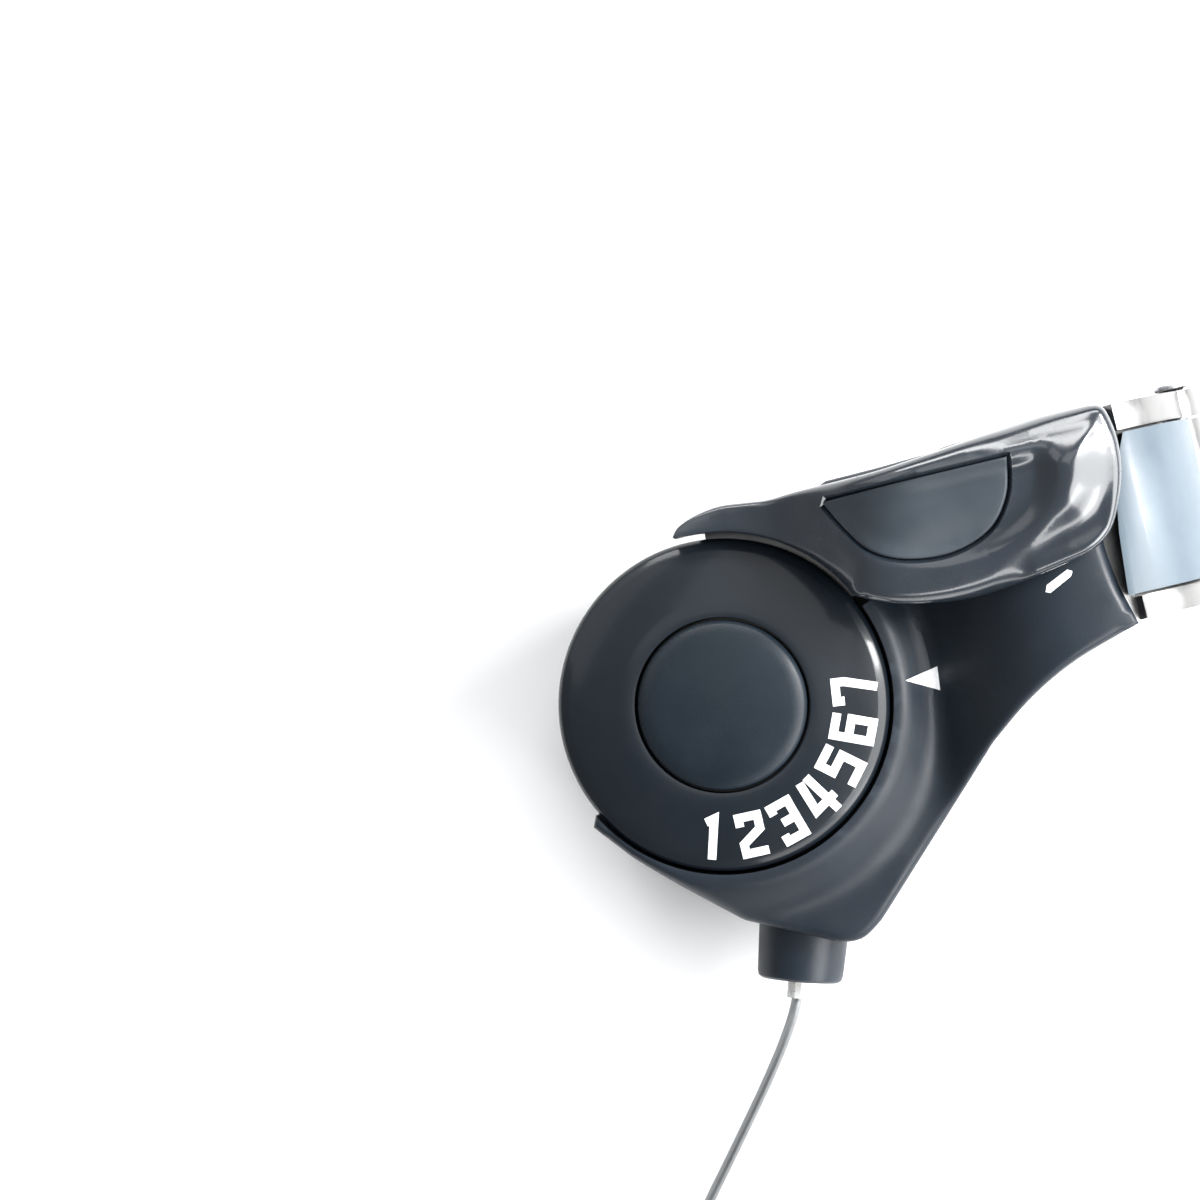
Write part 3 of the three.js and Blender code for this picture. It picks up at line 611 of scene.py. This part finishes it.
def swept(name, line, radius, sides, material):
    """A round tube along a line, with a map that unrolls it: around, and along in diameters."""
    line = np.array(line, float)
    tangent = np.gradient(line, axis=0)
    tangent /= np.linalg.norm(tangent, axis=1)[:, None]
    side = np.cross(tangent[0], (0, 0, 1.0))
    side /= np.linalg.norm(side)
    gaps = np.linalg.norm(np.diff(line, axis=0), axis=1)
    run = np.concatenate([[0], np.cumsum(gaps)]) / (2 * radius)
    points = []
    for p, t in zip(line, tangent):
        side = side - t * side.dot(t)
        side /= np.linalg.norm(side)
        up = np.cross(t, side)
        for i in range(sides):
            c, s = polar(radius, 360 * i / sides)
            points.append(p + side * c + up * s)
    count = len(line)
    faces = [(k * sides + i, k * sides + (i + 1) % sides, (k + 1) * sides + (i + 1) % sides,
              (k + 1) * sides + i) for k in range(count - 1) for i in range(sides)]
    faces.append(tuple(range(sides))[::-1])
    faces.append(tuple(range((count - 1) * sides, count * sides)))
    obj = new_object(name, points, faces, material)
    layer = obj.data.uv_layers.new(name="unrolled")
    for polygon in obj.data.polygons:
        corners = [obj.data.loops[k].vertex_index for k in polygon.loop_indices]
        turns = [(v % sides) / sides for v in corners]
        wrap = max(turns) - min(turns) > 0.5
        for k, v, turn in zip(polygon.loop_indices, corners, turns):
            layer.data[k].uv = (turn + (1.0 if wrap and turn < 0.5 else 0.0), run[v // sides])
    return obj


def wear(obj, body, *nodes, slot=None):
    """Seats a piece: its body, the CAD nodes that it stands for, and its record slot, which is not
    used.
    """
    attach(obj, body)
    if nodes:
        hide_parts(*nodes)
    return obj


# ------------------------------------------------------------------ the free cable

CABLE_R = 0.6
CABLE_ANGLE = -108.1
DRUM_R = 10.0
CABLE_Z = 12.0
NOSE_END = 29.6
COIL_LOW, COIL_HIGH = extent("cable_coil")
COIL_CENTRE = (COIL_LOW + COIL_HIGH) / 2
COIL_OUTER = (COIL_HIGH[0] - COIL_LOW[0]) / 2
TURN_GAP = 1.25
COLUMNS = 5
ROWS = 6
COIL_START = 236.0
WIND_STEP = 9.0
SHIFT_ARC = 240


def on_cable(distance):
    """A point on the line by which the cable leaves the drum."""
    x, y = polar(DRUM_R, CABLE_ANGLE + 90) + polar(distance, CABLE_ANGLE)
    return np.array([x, y, CABLE_Z])


def coil_point(radius, height, degrees):
    return np.array([*(polar(radius, degrees) + COIL_CENTRE[:2]), height])


def coil_line():
    """Turns wound up and down in columns from the outside in.

    Between two columns the cable stays level while it moves in."""
    outer = COIL_OUTER - 0.2 - CABLE_R
    bottom = COIL_LOW[2] + CABLE_R + 0.1
    line = []
    angle = COIL_START
    for column in range(COLUMNS):
        radius = outer - TURN_GAP * column
        for k in range(int(360 * (ROWS - 1) / WIND_STEP)):
            turns = k * WIND_STEP / 360
            rise = turns if column % 2 == 0 else ROWS - 1 - turns
            line.append(coil_point(radius, bottom + TURN_GAP * rise, angle))
            angle += WIND_STEP
        last_rise = ROWS - 1 if column % 2 == 0 else 0
        if column < COLUMNS - 1:
            steps = int(SHIFT_ARC / WIND_STEP)
            for k in range(steps):
                shift = TURN_GAP * float(ease((k + 0.5) / steps))
                line.append(coil_point(radius - shift, bottom + TURN_GAP * last_rise, angle))
                angle += WIND_STEP
    return line


def cable_line():
    """The cable's four stretches: to the table, into the coil, the coil, and over it to the cap."""
    route = [on_cable(24.3), on_cable(27.0), on_cable(NOSE_END)] + [np.array(p) for p in (
        (-1.2, -34.6, 11.8), (-3.4, -38.0, 10.8), (-6.6, -42.2, 8.8), (-10.2, -46.6, 6.2),
        (-14.2, -51.4, 3.6), (-18.4, -56.2, 1.7), (-23.2, -59.8, 0.8), (-28.6, -61.6, 0.7),
        (-33.6, -64.6, 0.7), (-37.0, -69.2, 0.9), (-38.2, -74.6, 1.1))]
    turns = coil_line()
    lead_in = [coil_point(15.3, 1.2, 196.0), coil_point(14.1, 1.4, 216.0)]
    over = [coil_point(r, z, a) for r, z, a in (
        (8.6, 8.3, 104), (9.7, 8.95, 128), (11.4, 9.0, 153), (13.1, 8.8, 178), (14.5, 7.9, 200),
        (15.3, 6.3, 219), (15.7, 4.4, 238), (15.9, 2.6, 257), (16.0, 1.4, 277), (16.1, 0.95, 299),
        (16.13, 0.95, 320), (16.13, 0.95, 337))]
    cap_low, _ = extent("cable_end_cap")
    over.append(np.array([cap_low[0] + 0.89, cap_low[1] - 0.1, 0.95]))
    return route, lead_in, turns, over


def free_cable():
    route, lead_in, turns, over = cable_line()
    line = spline(route + lead_in + [turns[0]], 8)[:-1] + turns + spline([turns[-1]] + over, 6)[1:]
    line = resampled(line, 1.3)
    cable = swept("shift_cable", line, CABLE_R, 10, STRAND)
    wear(cable, "root", "inner_cable", "cable_coil", slot="cable_steel")


free_cable()

# ------------------------------------------------------------------ stage and lights


def make_stage():
    material, tree, main, where = shader("floor_white", (0.93, 0.93, 0.93), 0.6)
    tinted(tree, main, noise(tree, where, 3.0, 2.0), (0.92, 0.92, 0.92), (0.94, 0.94, 0.94))
    floor = block("floor", (-900, -900, -2), (900, 900, 0), material)


def panel(name, spot, aim, size, power):
    data = bpy.data.lights.new(name, "AREA")
    data.shape = "RECTANGLE"
    data.size, data.size_y = size[0] * MM, size[1] * MM
    data.energy = power
    light = bpy.data.objects.new(name, data)
    bpy.context.collection.objects.link(light)
    light.location = place(spot)
    towards = Vector(place(aim)) - light.location
    light.rotation_mode = "QUATERNION"
    light.rotation_quaternion = towards.to_track_quat("-Z", "Y")


def make_lights():
    world = bpy.data.worlds.new("studio")
    world.use_nodes = True
    sky = world.node_tree.nodes["Background"]
    sky.inputs["Color"].default_value = (0.95, 0.97, 1.0, 1.0)
    sky.inputs["Strength"].default_value = 0.36
    bpy.context.scene.world = world
    panel("right_panel", (262, -105, 185), (44, 8, 34), (400, 210), 2.2)
    panel("back_strip", (80, 330, 200), (20, 15, 25), (420, 80), 1.2)
    panel("top_panel", (120, 160, 620), (0, 0, 10), (460, 460), 0.8)
    panel("left_panel", (-330, 360, 380), (0, 0, 15), (420, 420), 0.6)
    panel("front_strip", (130, -290, 175), (40, 0, 30), (320, 70), 0.45)
    panel("dial_strip", (257, 60, 194), (17, 3, 24), (120, 46), 1.3)
    bpy.context.scene.view_settings.view_transform = "Standard"


make_stage()
make_lights()

# ------------------------------------------------------------------ housing

POCKET_R = 18.3
CAVITY_R = 15.6
SHOULDER = 14.2
BODY_TOP = 19.0
BODY_BOTTOM = 2.0
CLAMP_AT = (41.0, 16.5)
UP = (0, 0, 1)
ALONG_BAR = (0, 1, 0)

HOUSING_OUTLINE = (
    spline([(-16.8, -9.6), (-14.4, -12.6), (-12.2, -15.0), (-3.6, -23.2)])
    + spline([(6.0, -28.0), (8.4, -28.1), (10.8, -26.7)])
    + spline([(27.2, -10.6), (32.4, -6.8), (38.0, -4.0), (45.2, -1.8)])
    + spline([(44.0, 3.0), (43.6, 8.0), (44.8, 14.0), (46.8, 21.2)])
    + [(16.0, 21.0)]
    + arc(17.4, 72, 205)
)
ARM_TOP = [(13, 19), (17, 19), (21, 20.1), (25, 23.2), (29, 27), (33, 29.7), (37, 31), (41, 31.1),
           (47.2, 29.9)]
COLLAR = [(18.3, 24.0), (18.9, 24.0), (19.6, 23.7), (20.6, 22.8), (23.0, 20.4), (24.4, 19.4),
          (25.8, BODY_TOP), (27.2, BODY_TOP)]


def along(curve, values):
    """Heights read off a smooth curve through (position, height) points, level past its ends."""
    at, height = np.array(curve, float).T
    slope = np.gradient(height, at)
    values = np.clip(values, at[0], at[-1])
    k = np.clip(np.searchsorted(at, values) - 1, 0, len(at) - 2)
    span = at[k + 1] - at[k]
    t = (values - at[k]) / span
    start = (1 + 2 * t) * (1 - t) ** 2 * height[k] + t * (1 - t) ** 2 * span * slope[k]
    return start + t * t * (3 - 2 * t) * height[k + 1] - t * t * (1 - t) * span * slope[k + 1]


def housing_top(points):
    """The arm's rise to the clamp, blended with the collar that slopes down round the dial."""
    x, y = np.atleast_2d(points).T[:2]
    arm = along(ARM_TOP, x)
    collar = along(COLLAR, np.hypot(x, y))
    return highest(arm, collar, 1.8)


def flat(level):
    """A height function that is level everywhere."""
    return lambda points: np.full(len(np.atleast_2d(points)), float(level))


def rod(radius, low, high, centre=(0.0, 0.0), steps=96):
    """An upright round cutting tool."""
    points = [(0, low), (radius, low), (radius, high), (0, high)]
    return turned("tool", points, None, steps, ((*centre, 0.0), UP))


def drill(radius, start, direction, length, steps=48):
    """A round cutting tool from a point, in any direction."""
    return turned("tool", [(0, 0), (radius, 0), (radius, length), (0, length)], None, steps,
                  (start, direction))


def make_housing():
    """The shell with its nose, less the room for all that it holds or lets pass."""
    rings = [(np.array(arc(21.0, -165, 64, 1.6)), np.arange(-6.4, 2.7, 0.7))]
    body = relief("housing_shell", HOUSING_OUTLINE, housing_top, flat(BODY_BOTTOM), HOUSING_BLACK,
                  spacing=0.8, rim=1.1, sole=0.3, features=rings)
    nose_direction = (*polar(1, CABLE_ANGLE), 0)
    nose = turned("nose", [(0, 0), (6.2, 0), (5.3, 10), (4.95, 11.4), (4.7, 17.2), (4.55, 17.75),
                           (4.2, 18.0), (0, 18.0)], None, 64, (on_cable(11.6), nose_direction))
    boolean(body, [nose], "UNION")
    cuts = [
        rod(POCKET_R, SHOULDER, 50),
        rod(CAVITY_R, 6.0, 20),
        rod(12.0, -1, 4.0),
        rod(3.3, -1, 20, steps=48),
        prism("tool", sector(0.2, 22.3, 22, 205), SHOULDER, 50, None),
        block("tool", (18.0, -2.2, -1), (70, 60, 13)),
        block("tool", (24.0, -60, -1), (70, -2.0, 13)),
        block("tool", (8.0, 16.4, -1), (18.2, 60, 13)),
        drill(12.6, (CLAMP_AT[0], -60, CLAMP_AT[1]), ALONG_BAR, 120, 96),
        rod(2.8, 9.4, 21.4, (25.4, 10.0), 48),
        block("tool", (21.4, 5.8, 15.2), (28.0, 30, 19.0)),
        drill(1.7, on_cable(5.0), nose_direction, 40),
        drill(3.2, on_cable(22.2), nose_direction, 20),
        drill(3.0, (*polar(13.0, -52), 8.2), (*polar(1, -52), 0), 20),
    ]
    for x, y in ((-13.2, -4.8), (4.0, -24.0), (20.0, -13.6)):
        cuts.append(rod(1.4, -1, 6.2, (x, y), 32))
    boolean(body, cuts)
    return wear(body, "root", "housing", slot="black_plastic")


HOUSING = make_housing()


# ------------------------------------------------------------------ lever

LEVER_OUTLINE = (
    spline([polar(18.5, 26), (18.2, 7.3)], 2)[:-1]
    + spline([(18.2, 7.3), (21, 6.2), (24.4, 5.4), (29.2, 4.9), (35, 5.4), (39.6, 6.2), (42.4, 6.9),
              (44.6, 8.5), (46.2, 11.4), (47.2, 14.4), (47.5, 17.6), (47.1, 20.4), (46.4, 21.5),
              (45.2, 21.8)])[:-1]
    + spline([(45.2, 21.8), (39.2, 21.8), (33, 21.2), (27.2, 20.6), (21.4, 20.2), (13.4, 20.3),
              (10, 20.2), (7.4, 20.5), (4.6, 20.8), (1.8, 20.4), (-0.2, 19.6), polar(18.75, 93)])
    + arc(18.5, 92.4, 27)
)
LEVER_TOP = [(-6, 25.8), (5, 26.6), (10.5, 28.2), (15, 31.6), (19.5, 35.6), (24, 37.8), (30, 38.5),
             (37, 38.5), (42, 38.4), (46, 38.0), (48, 37.7)]
LEVER_UNDER = [(-10, 24.3), (22.1, 24.3), (25.2, 24.5), (28, 26.9), (32, 30.1), (36, 31.8),
               (40, 32.1), (44, 32.1), (47.6, 32.8)]
LEVER_ACROSS = [(3.8, 31.8), (5.4, 33.6), (8.6, 35.0), (19.8, 38.5), (21.6, 37.6), (22.4, 35.5)]
BASIN = np.array(spline([(15.4, 18.6), (17.4, 14.9), (19.6, 12.0), (23.2, 10.3), (28, 9.9),
                         (32.4, 11.4), (35, 14.6), (36, 18.6)]))
SCOOP = np.array(spline([(13.0, 19.3), (15.8, 14.6), (18.6, 10.9), (22.6, 8.9), (28, 8.2),
                         (34, 8.8), (38.6, 11.0), (41.0, 14.4), (41.8, 19.2)]))
SCOOP_BACK = 19.2
SCOOP_BACK_BANK = 2.4
SCOOP_BANK = 3.4
SCOOP_DEPTH = 1.9
RECESS_DEPTH = 1.3
RECESS_BANK = 0.4
LEAST_WALL = 2.0
FLANK_FALL = 0.62
FLANK_WIDTH = 2.2
FLANK_END_WIDTH = 3.2
FLANK_START = 1.2
LEVER_EDGE = closed_line(resampled(LEVER_OUTLINE, 0.8, closed=True))


def thumb_face(points):
    """The paddle's crowned top, with a flank that falls to its edge and the thumb's scoop in it.

    The flank widens towards the paddle's end. It falls only as far as there is room for, so that
    the top stays a wall's thickness above the underside."""
    plan = np.atleast_2d(points)[:, :2]
    x, y = plan.T
    crown = lowest(along(LEVER_TOP, x), along(LEVER_ACROSS, y), 2.0)
    width = FLANK_WIDTH + FLANK_END_WIDTH * ease((x - 30) / 12)
    over = np.maximum(0.0, width - distance_to(plan, LEVER_EDGE))
    fall = FLANK_FALL * over * over / (over + FLANK_START) * ease((x - 24) / 14)
    least = lever_under(plan) + LEAST_WALL
    room = np.maximum(0.0, crown - least)
    crown = crown - fall * room / np.cbrt(fall ** 3 + room ** 3 + 1e-9)
    reach = np.where(inside(plan, SCOOP), distance_to(plan, SCOOP), 0.0)
    depth = SCOOP_DEPTH * (0.35 + 0.65 * ease((x - 17) / 14))
    face = crown - depth * ease(reach / SCOOP_BANK) * ease((SCOOP_BACK - y) / SCOOP_BACK_BANK)
    return highest(face, least, 2.0)


def lever_top(points):
    """The paddle's top with the thumb pad's recess sunk into it."""
    plan = np.atleast_2d(points)[:, :2]
    gap = -signed(plan, BASIN)
    return thumb_face(plan) - RECESS_DEPTH * ease((gap + 0.1) / RECESS_BANK)


def lever_under(points):
    x, _ = np.atleast_2d(points).T[:2]
    line = np.array(LEVER_UNDER)
    return np.interp(x, line[:, 0], line[:, 1])


def lever_rim(outline):
    """Edge radius: small along the thin tail, wide round the paddle's end."""
    x, _ = outline.T
    return 0.2 + 0.4 * ease((x + 1) / 6) + 0.7 * ease((x - 10) / 8) - 0.4 * ease((x - 36) / 8)


def make_lever():
    rim = np.roll(resampled(BASIN, 0.5, closed=True), 10, axis=0)
    lines = [(resampled(SCOOP, 0.5), (0.0, 0.8, 1.6, 2.4, 3.2)),
             (closed_line(rim), (-0.35, -0.1, 0.12, 0.36))]
    body = relief("thumb_lever", LEVER_OUTLINE, lever_top, lever_under, LEVER_BLACK, spacing=0.45,
                  rim=lever_rim, sole=0.35, features=lines)
    hub = turned("hub", [(5.2, 14.6), (17.2, 14.6), (17.4, 14.8), (17.4, 18.1), (17.2, 18.3),
                         (5.2, 18.3), (5.2, 14.6)], None, 96)
    bridge = prism("bridge", sector(15.0, 19.6, 27, 84), 14.7, 18.2, None)
    riser = prism("riser", sector(18.6, 19.8, 28, 85), 15.2, 25.0, None)
    boolean(body, [riser, bridge, hub], "UNION")
    return wear(body, "lever", "shift_lever", slot="lever_plastic")


make_lever()


PAD_GAP = 0.14
PAD_SUNK = 0.12
PAD_THICKNESS = 0.86


def make_thumb_pad():
    outline = grown(resampled(BASIN, 0.6, closed=True), PAD_GAP)

    def top(points):
        return thumb_face(points) - PAD_SUNK

    def under(points):
        return thumb_face(points) - PAD_SUNK - PAD_THICKNESS

    pad = relief("thumb_pad_skin", outline, top, under, PAD_GREY, spacing=0.8, rim=0.3, sole=0.1)
    return wear(pad, "lever", "thumb_pad", slot="pad_rubber")


make_thumb_pad()


# ------------------------------------------------------------------ dial and its print

DIAL_FACE = [(9.7, 26.16), (11.4, 25.9), (13.5, 25.5), (15.4, 25.0), (16.6, 24.62), (16.7, 24.58),
             (17.4, 24.18), (17.5, 24.11), (17.8, 23.75), (17.9, 23.35)]
STROKE = 0.92
DIGIT_MID = 14.2
# the strokes of each digit, as points in millimetres to the right of its middle and up from it
GLYPHS = {
    "1": [[(-0.85, 1.5), (0.0, 1.98), (0.0, -2.45)]],
    "2": [[(-1.03, 1.0), (-1.03, 1.98), (1.03, 1.98), (1.03, 0.5), (-1.03, -0.9), (-1.03, -1.98),
           (1.45, -1.98)]],
    "3": [[(-1.03, 1.2), (-1.03, 1.98), (1.03, 1.98), (1.03, -1.98), (-1.03, -1.98), (-1.03, -1.2)],
          [(-0.6, 0.05), (0.57, 0.05)]],
    "4": [[(0.6, 2.45), (0.6, -2.45)], [(-0.35, 2.45), (-1.25, -0.95), (0.14, -0.95)],
          [(1.06, -0.95), (1.55, -0.95)]],
    "5": [[(1.4, 1.98), (-1.03, 1.98), (-1.03, 0.4), (1.03, 0.4), (1.03, -1.98), (-1.45, -1.98)]],
    "6": [[(1.35, 1.98), (-1.03, 1.98), (-1.03, -1.98), (1.03, -1.98), (1.03, 0.35),
           (-0.57, 0.35)]],
    "7": [[(-1.03, 1.15), (-1.03, 1.98), (1.03, 1.98), (1.03, 1.0), (0.1, -2.45)]],
}
FIRST_DIGIT_ANGLE = -107.7
DIGIT_STEP = 16.8
PRINT_HEIGHT = 0.035
PRINT_SUNK = 0.12


def dial_face(points):
    """The dial's height at each plan point."""
    r, z = np.array(DIAL_FACE).T
    return np.interp(np.hypot(*np.atleast_2d(points)[:, :2].T), r, z)


def ribbon(path, width):
    """The outline of a stroke of even width with mitred corners."""
    path = np.array(path, float)
    left, right = [], []
    for i, p in enumerate(path):
        ways = []
        if i > 0:
            ways.append((p - path[i - 1]) / np.linalg.norm(p - path[i - 1]))
        if i < len(path) - 1:
            ways.append((path[i + 1] - p) / np.linalg.norm(path[i + 1] - p))
        normals = [np.array([-w[1], w[0]]) for w in ways]
        mid = sum(normals)
        mid = mid / max(mid.dot(normals[0]), 0.35) if len(normals) == 2 else normals[0]
        left.append(p + mid * width / 2)
        right.append(p - mid * width / 2)
    return np.array(right + left[::-1])


def draped(obj):
    """Heights of an object's finished surface, looked up from above."""
    def surface(points):
        heights = []
        for x, y in np.atleast_2d(points)[:, :2]:
            start = Vector(place((x, y, 60.0)))
            hit, spot, _, _ = obj.ray_cast(start, Vector((0, 0, -1)))
            heights.append(spot.z / MM if hit else 0.0)
        return np.array(heights)
    return surface


def printed(name, outline, surface, body):
    """A thin layer of white print that follows a surface, its underside sunk into it."""
    outline = np.array(outline, float)
    if clockwise(outline):
        outline = outline[::-1]
    mark = relief(name, outline, lambda p: surface(p) + PRINT_HEIGHT,
                  lambda p: surface(p) - PRINT_SUNK, PRINT_WHITE, spacing=0.45, rim=0.02, sole=0.02)
    return wear(mark, body, slot="nylon")


def make_digits():
    for index, digit in enumerate("1234567"):
        angle = FIRST_DIGIT_ANGLE + DIGIT_STEP * index
        centre = polar(DIGIT_MID, angle)
        up = -polar(1, angle)
        right = np.array([up[1], -up[0]])
        for k, path in enumerate(GLYPHS[digit]):
            shape = [centre + right * u + up * v for u, v in ribbon(path, STROKE)]
            printed(f"digit_{digit}_{k + 1}", shape, dial_face, "lever")


def make_dial():
    profile = [(3.4, 20.6), (8.4, 20.6), (8.8, 18.7), (17.3, 18.7), (17.72, 18.88), (17.9, 19.3)]
    profile += DIAL_FACE[::-1]
    profile += [(9.45, 26.1), (9.4, 25.9), (9.4, 22.2), (3.4, 22.2), (3.4, 20.6)]
    wear(turned("dial_disc", profile, DIAL_BLACK, 192), "lever", "number_dial", slot="dial_plastic")
    cap = [(7.9, 22.5), (9.1, 22.5), (9.1, 25.95), (9.02, 26.25), (8.6, 26.62), (7.4, 26.9),
           (6, 27.1), (3, 27.35), (0, 27.4), (0, 25.7), (7.9, 25.5), (7.9, 22.5)]
    wear(turned("dial_centre_cap", cap, CAP_BLACK, 128), "lever", "dial_cap", slot="dial_plastic")
    make_digits()


make_dial()
printed("pointer_mark", [(19.6, -2.0), (22.9, -3.9), (23.2, -1.3)], draped(HOUSING), "root")
# a small white dash on the arm: a thin white layer laid on the housing's surface
printed("arm_dash", [(36.4, 3.7), (36.9, 3.5), (39.4, 4.7), (39.7, 5.2), (39.2, 5.5), (36.7, 4.4)],
        draped(HOUSING), "root")


# ------------------------------------------------------------------ clamp, cover and fasteners


FLAT_ANGLE = 1.0
EDGE_ANGLE = 38.0


def refined(node, body, material, slot, width_mm):
    """A CAD node's shape with its edges broken, as a pressed, turned or moulded part has them."""
    shape = bmesh.new()
    shape.from_mesh(frame["nodes"][node].data)
    bmesh.ops.remove_doubles(shape, verts=shape.verts, dist=1e-6)
    bmesh.ops.dissolve_limit(shape, angle_limit=math.radians(FLAT_ANGLE), verts=shape.verts,
                             edges=shape.edges)
    points = [drawn(v.co) for v in shape.verts]
    shape.verts.index_update()
    faces = [[v.index for v in face.verts] for face in shape.faces]
    shape.free()
    obj = new_object(f"{node}_finished", points, faces, material)
    rounded(obj, width_mm, 2, EDGE_ANGLE)
    return wear(obj, body, node, slot=slot)


REFINED = [
    ("base_cover", "root", COVER_BLACK, "black_plastic", 0.25),
    ("clamp_bracket", "root", ZINC, "zinc_steel", 0.22),
    ("clamp_pad", "root", CLAMP_GREY, "grey_plastic", 0.8),
    ("hinge_pin", "root", SCREW_STEEL, "screw_steel", 0.20),
    ("clamp_nut", "root", SCREW_STEEL, "screw_steel", 0.18),
    ("saddle_screw_1", "root", SCREW_STEEL, "screw_steel", 0.12),
    ("saddle_screw_2", "root", SCREW_STEEL, "screw_steel", 0.12),
    ("detent_plug", "root", SCREW_STEEL, "screw_steel", 0.12),
    ("clamp_band", "band", ZINC, "zinc_steel", 0.22),
    ("clamp_bolt", "bolt", SCREW_STEEL, "screw_steel", 0.18),
    ("bolt_washer", "bolt", SCREW_STEEL, "screw_steel", 0.12),
]
for node, body, material, slot, width in REFINED:
    refined(node, body, material, slot, width)


# ------------------------------------------------------------------ carried-over CAD nodes

KEPT = {
    SCREW_STEEL: ["cover_screw_1", "cover_screw_2", "cover_screw_3", "pivot_screw"],
    TURNED_STEEL: ["pivot_axle", "detent_spring", "detent_ball", "index_plate", "cable_head",
                   "cable_wrap", "wave_washer", "top_washer", "cable_run"],
    BRASS: ["detent_sleeve", "cable_stop", "hub_bushing"],
    NYLON: ["thrust_washer", "cable_drum"],
    CLEAR: ["cable_liner"],
    TIE_BLACK: ["coil_tie"],
    CAP_ALUMINIUM: ["cable_end_cap"],
}
for material, nodes in KEPT.items():
    for node in nodes:
        mesh = frame["nodes"][node].data
        mesh.materials.clear()
        mesh.materials.append(material)
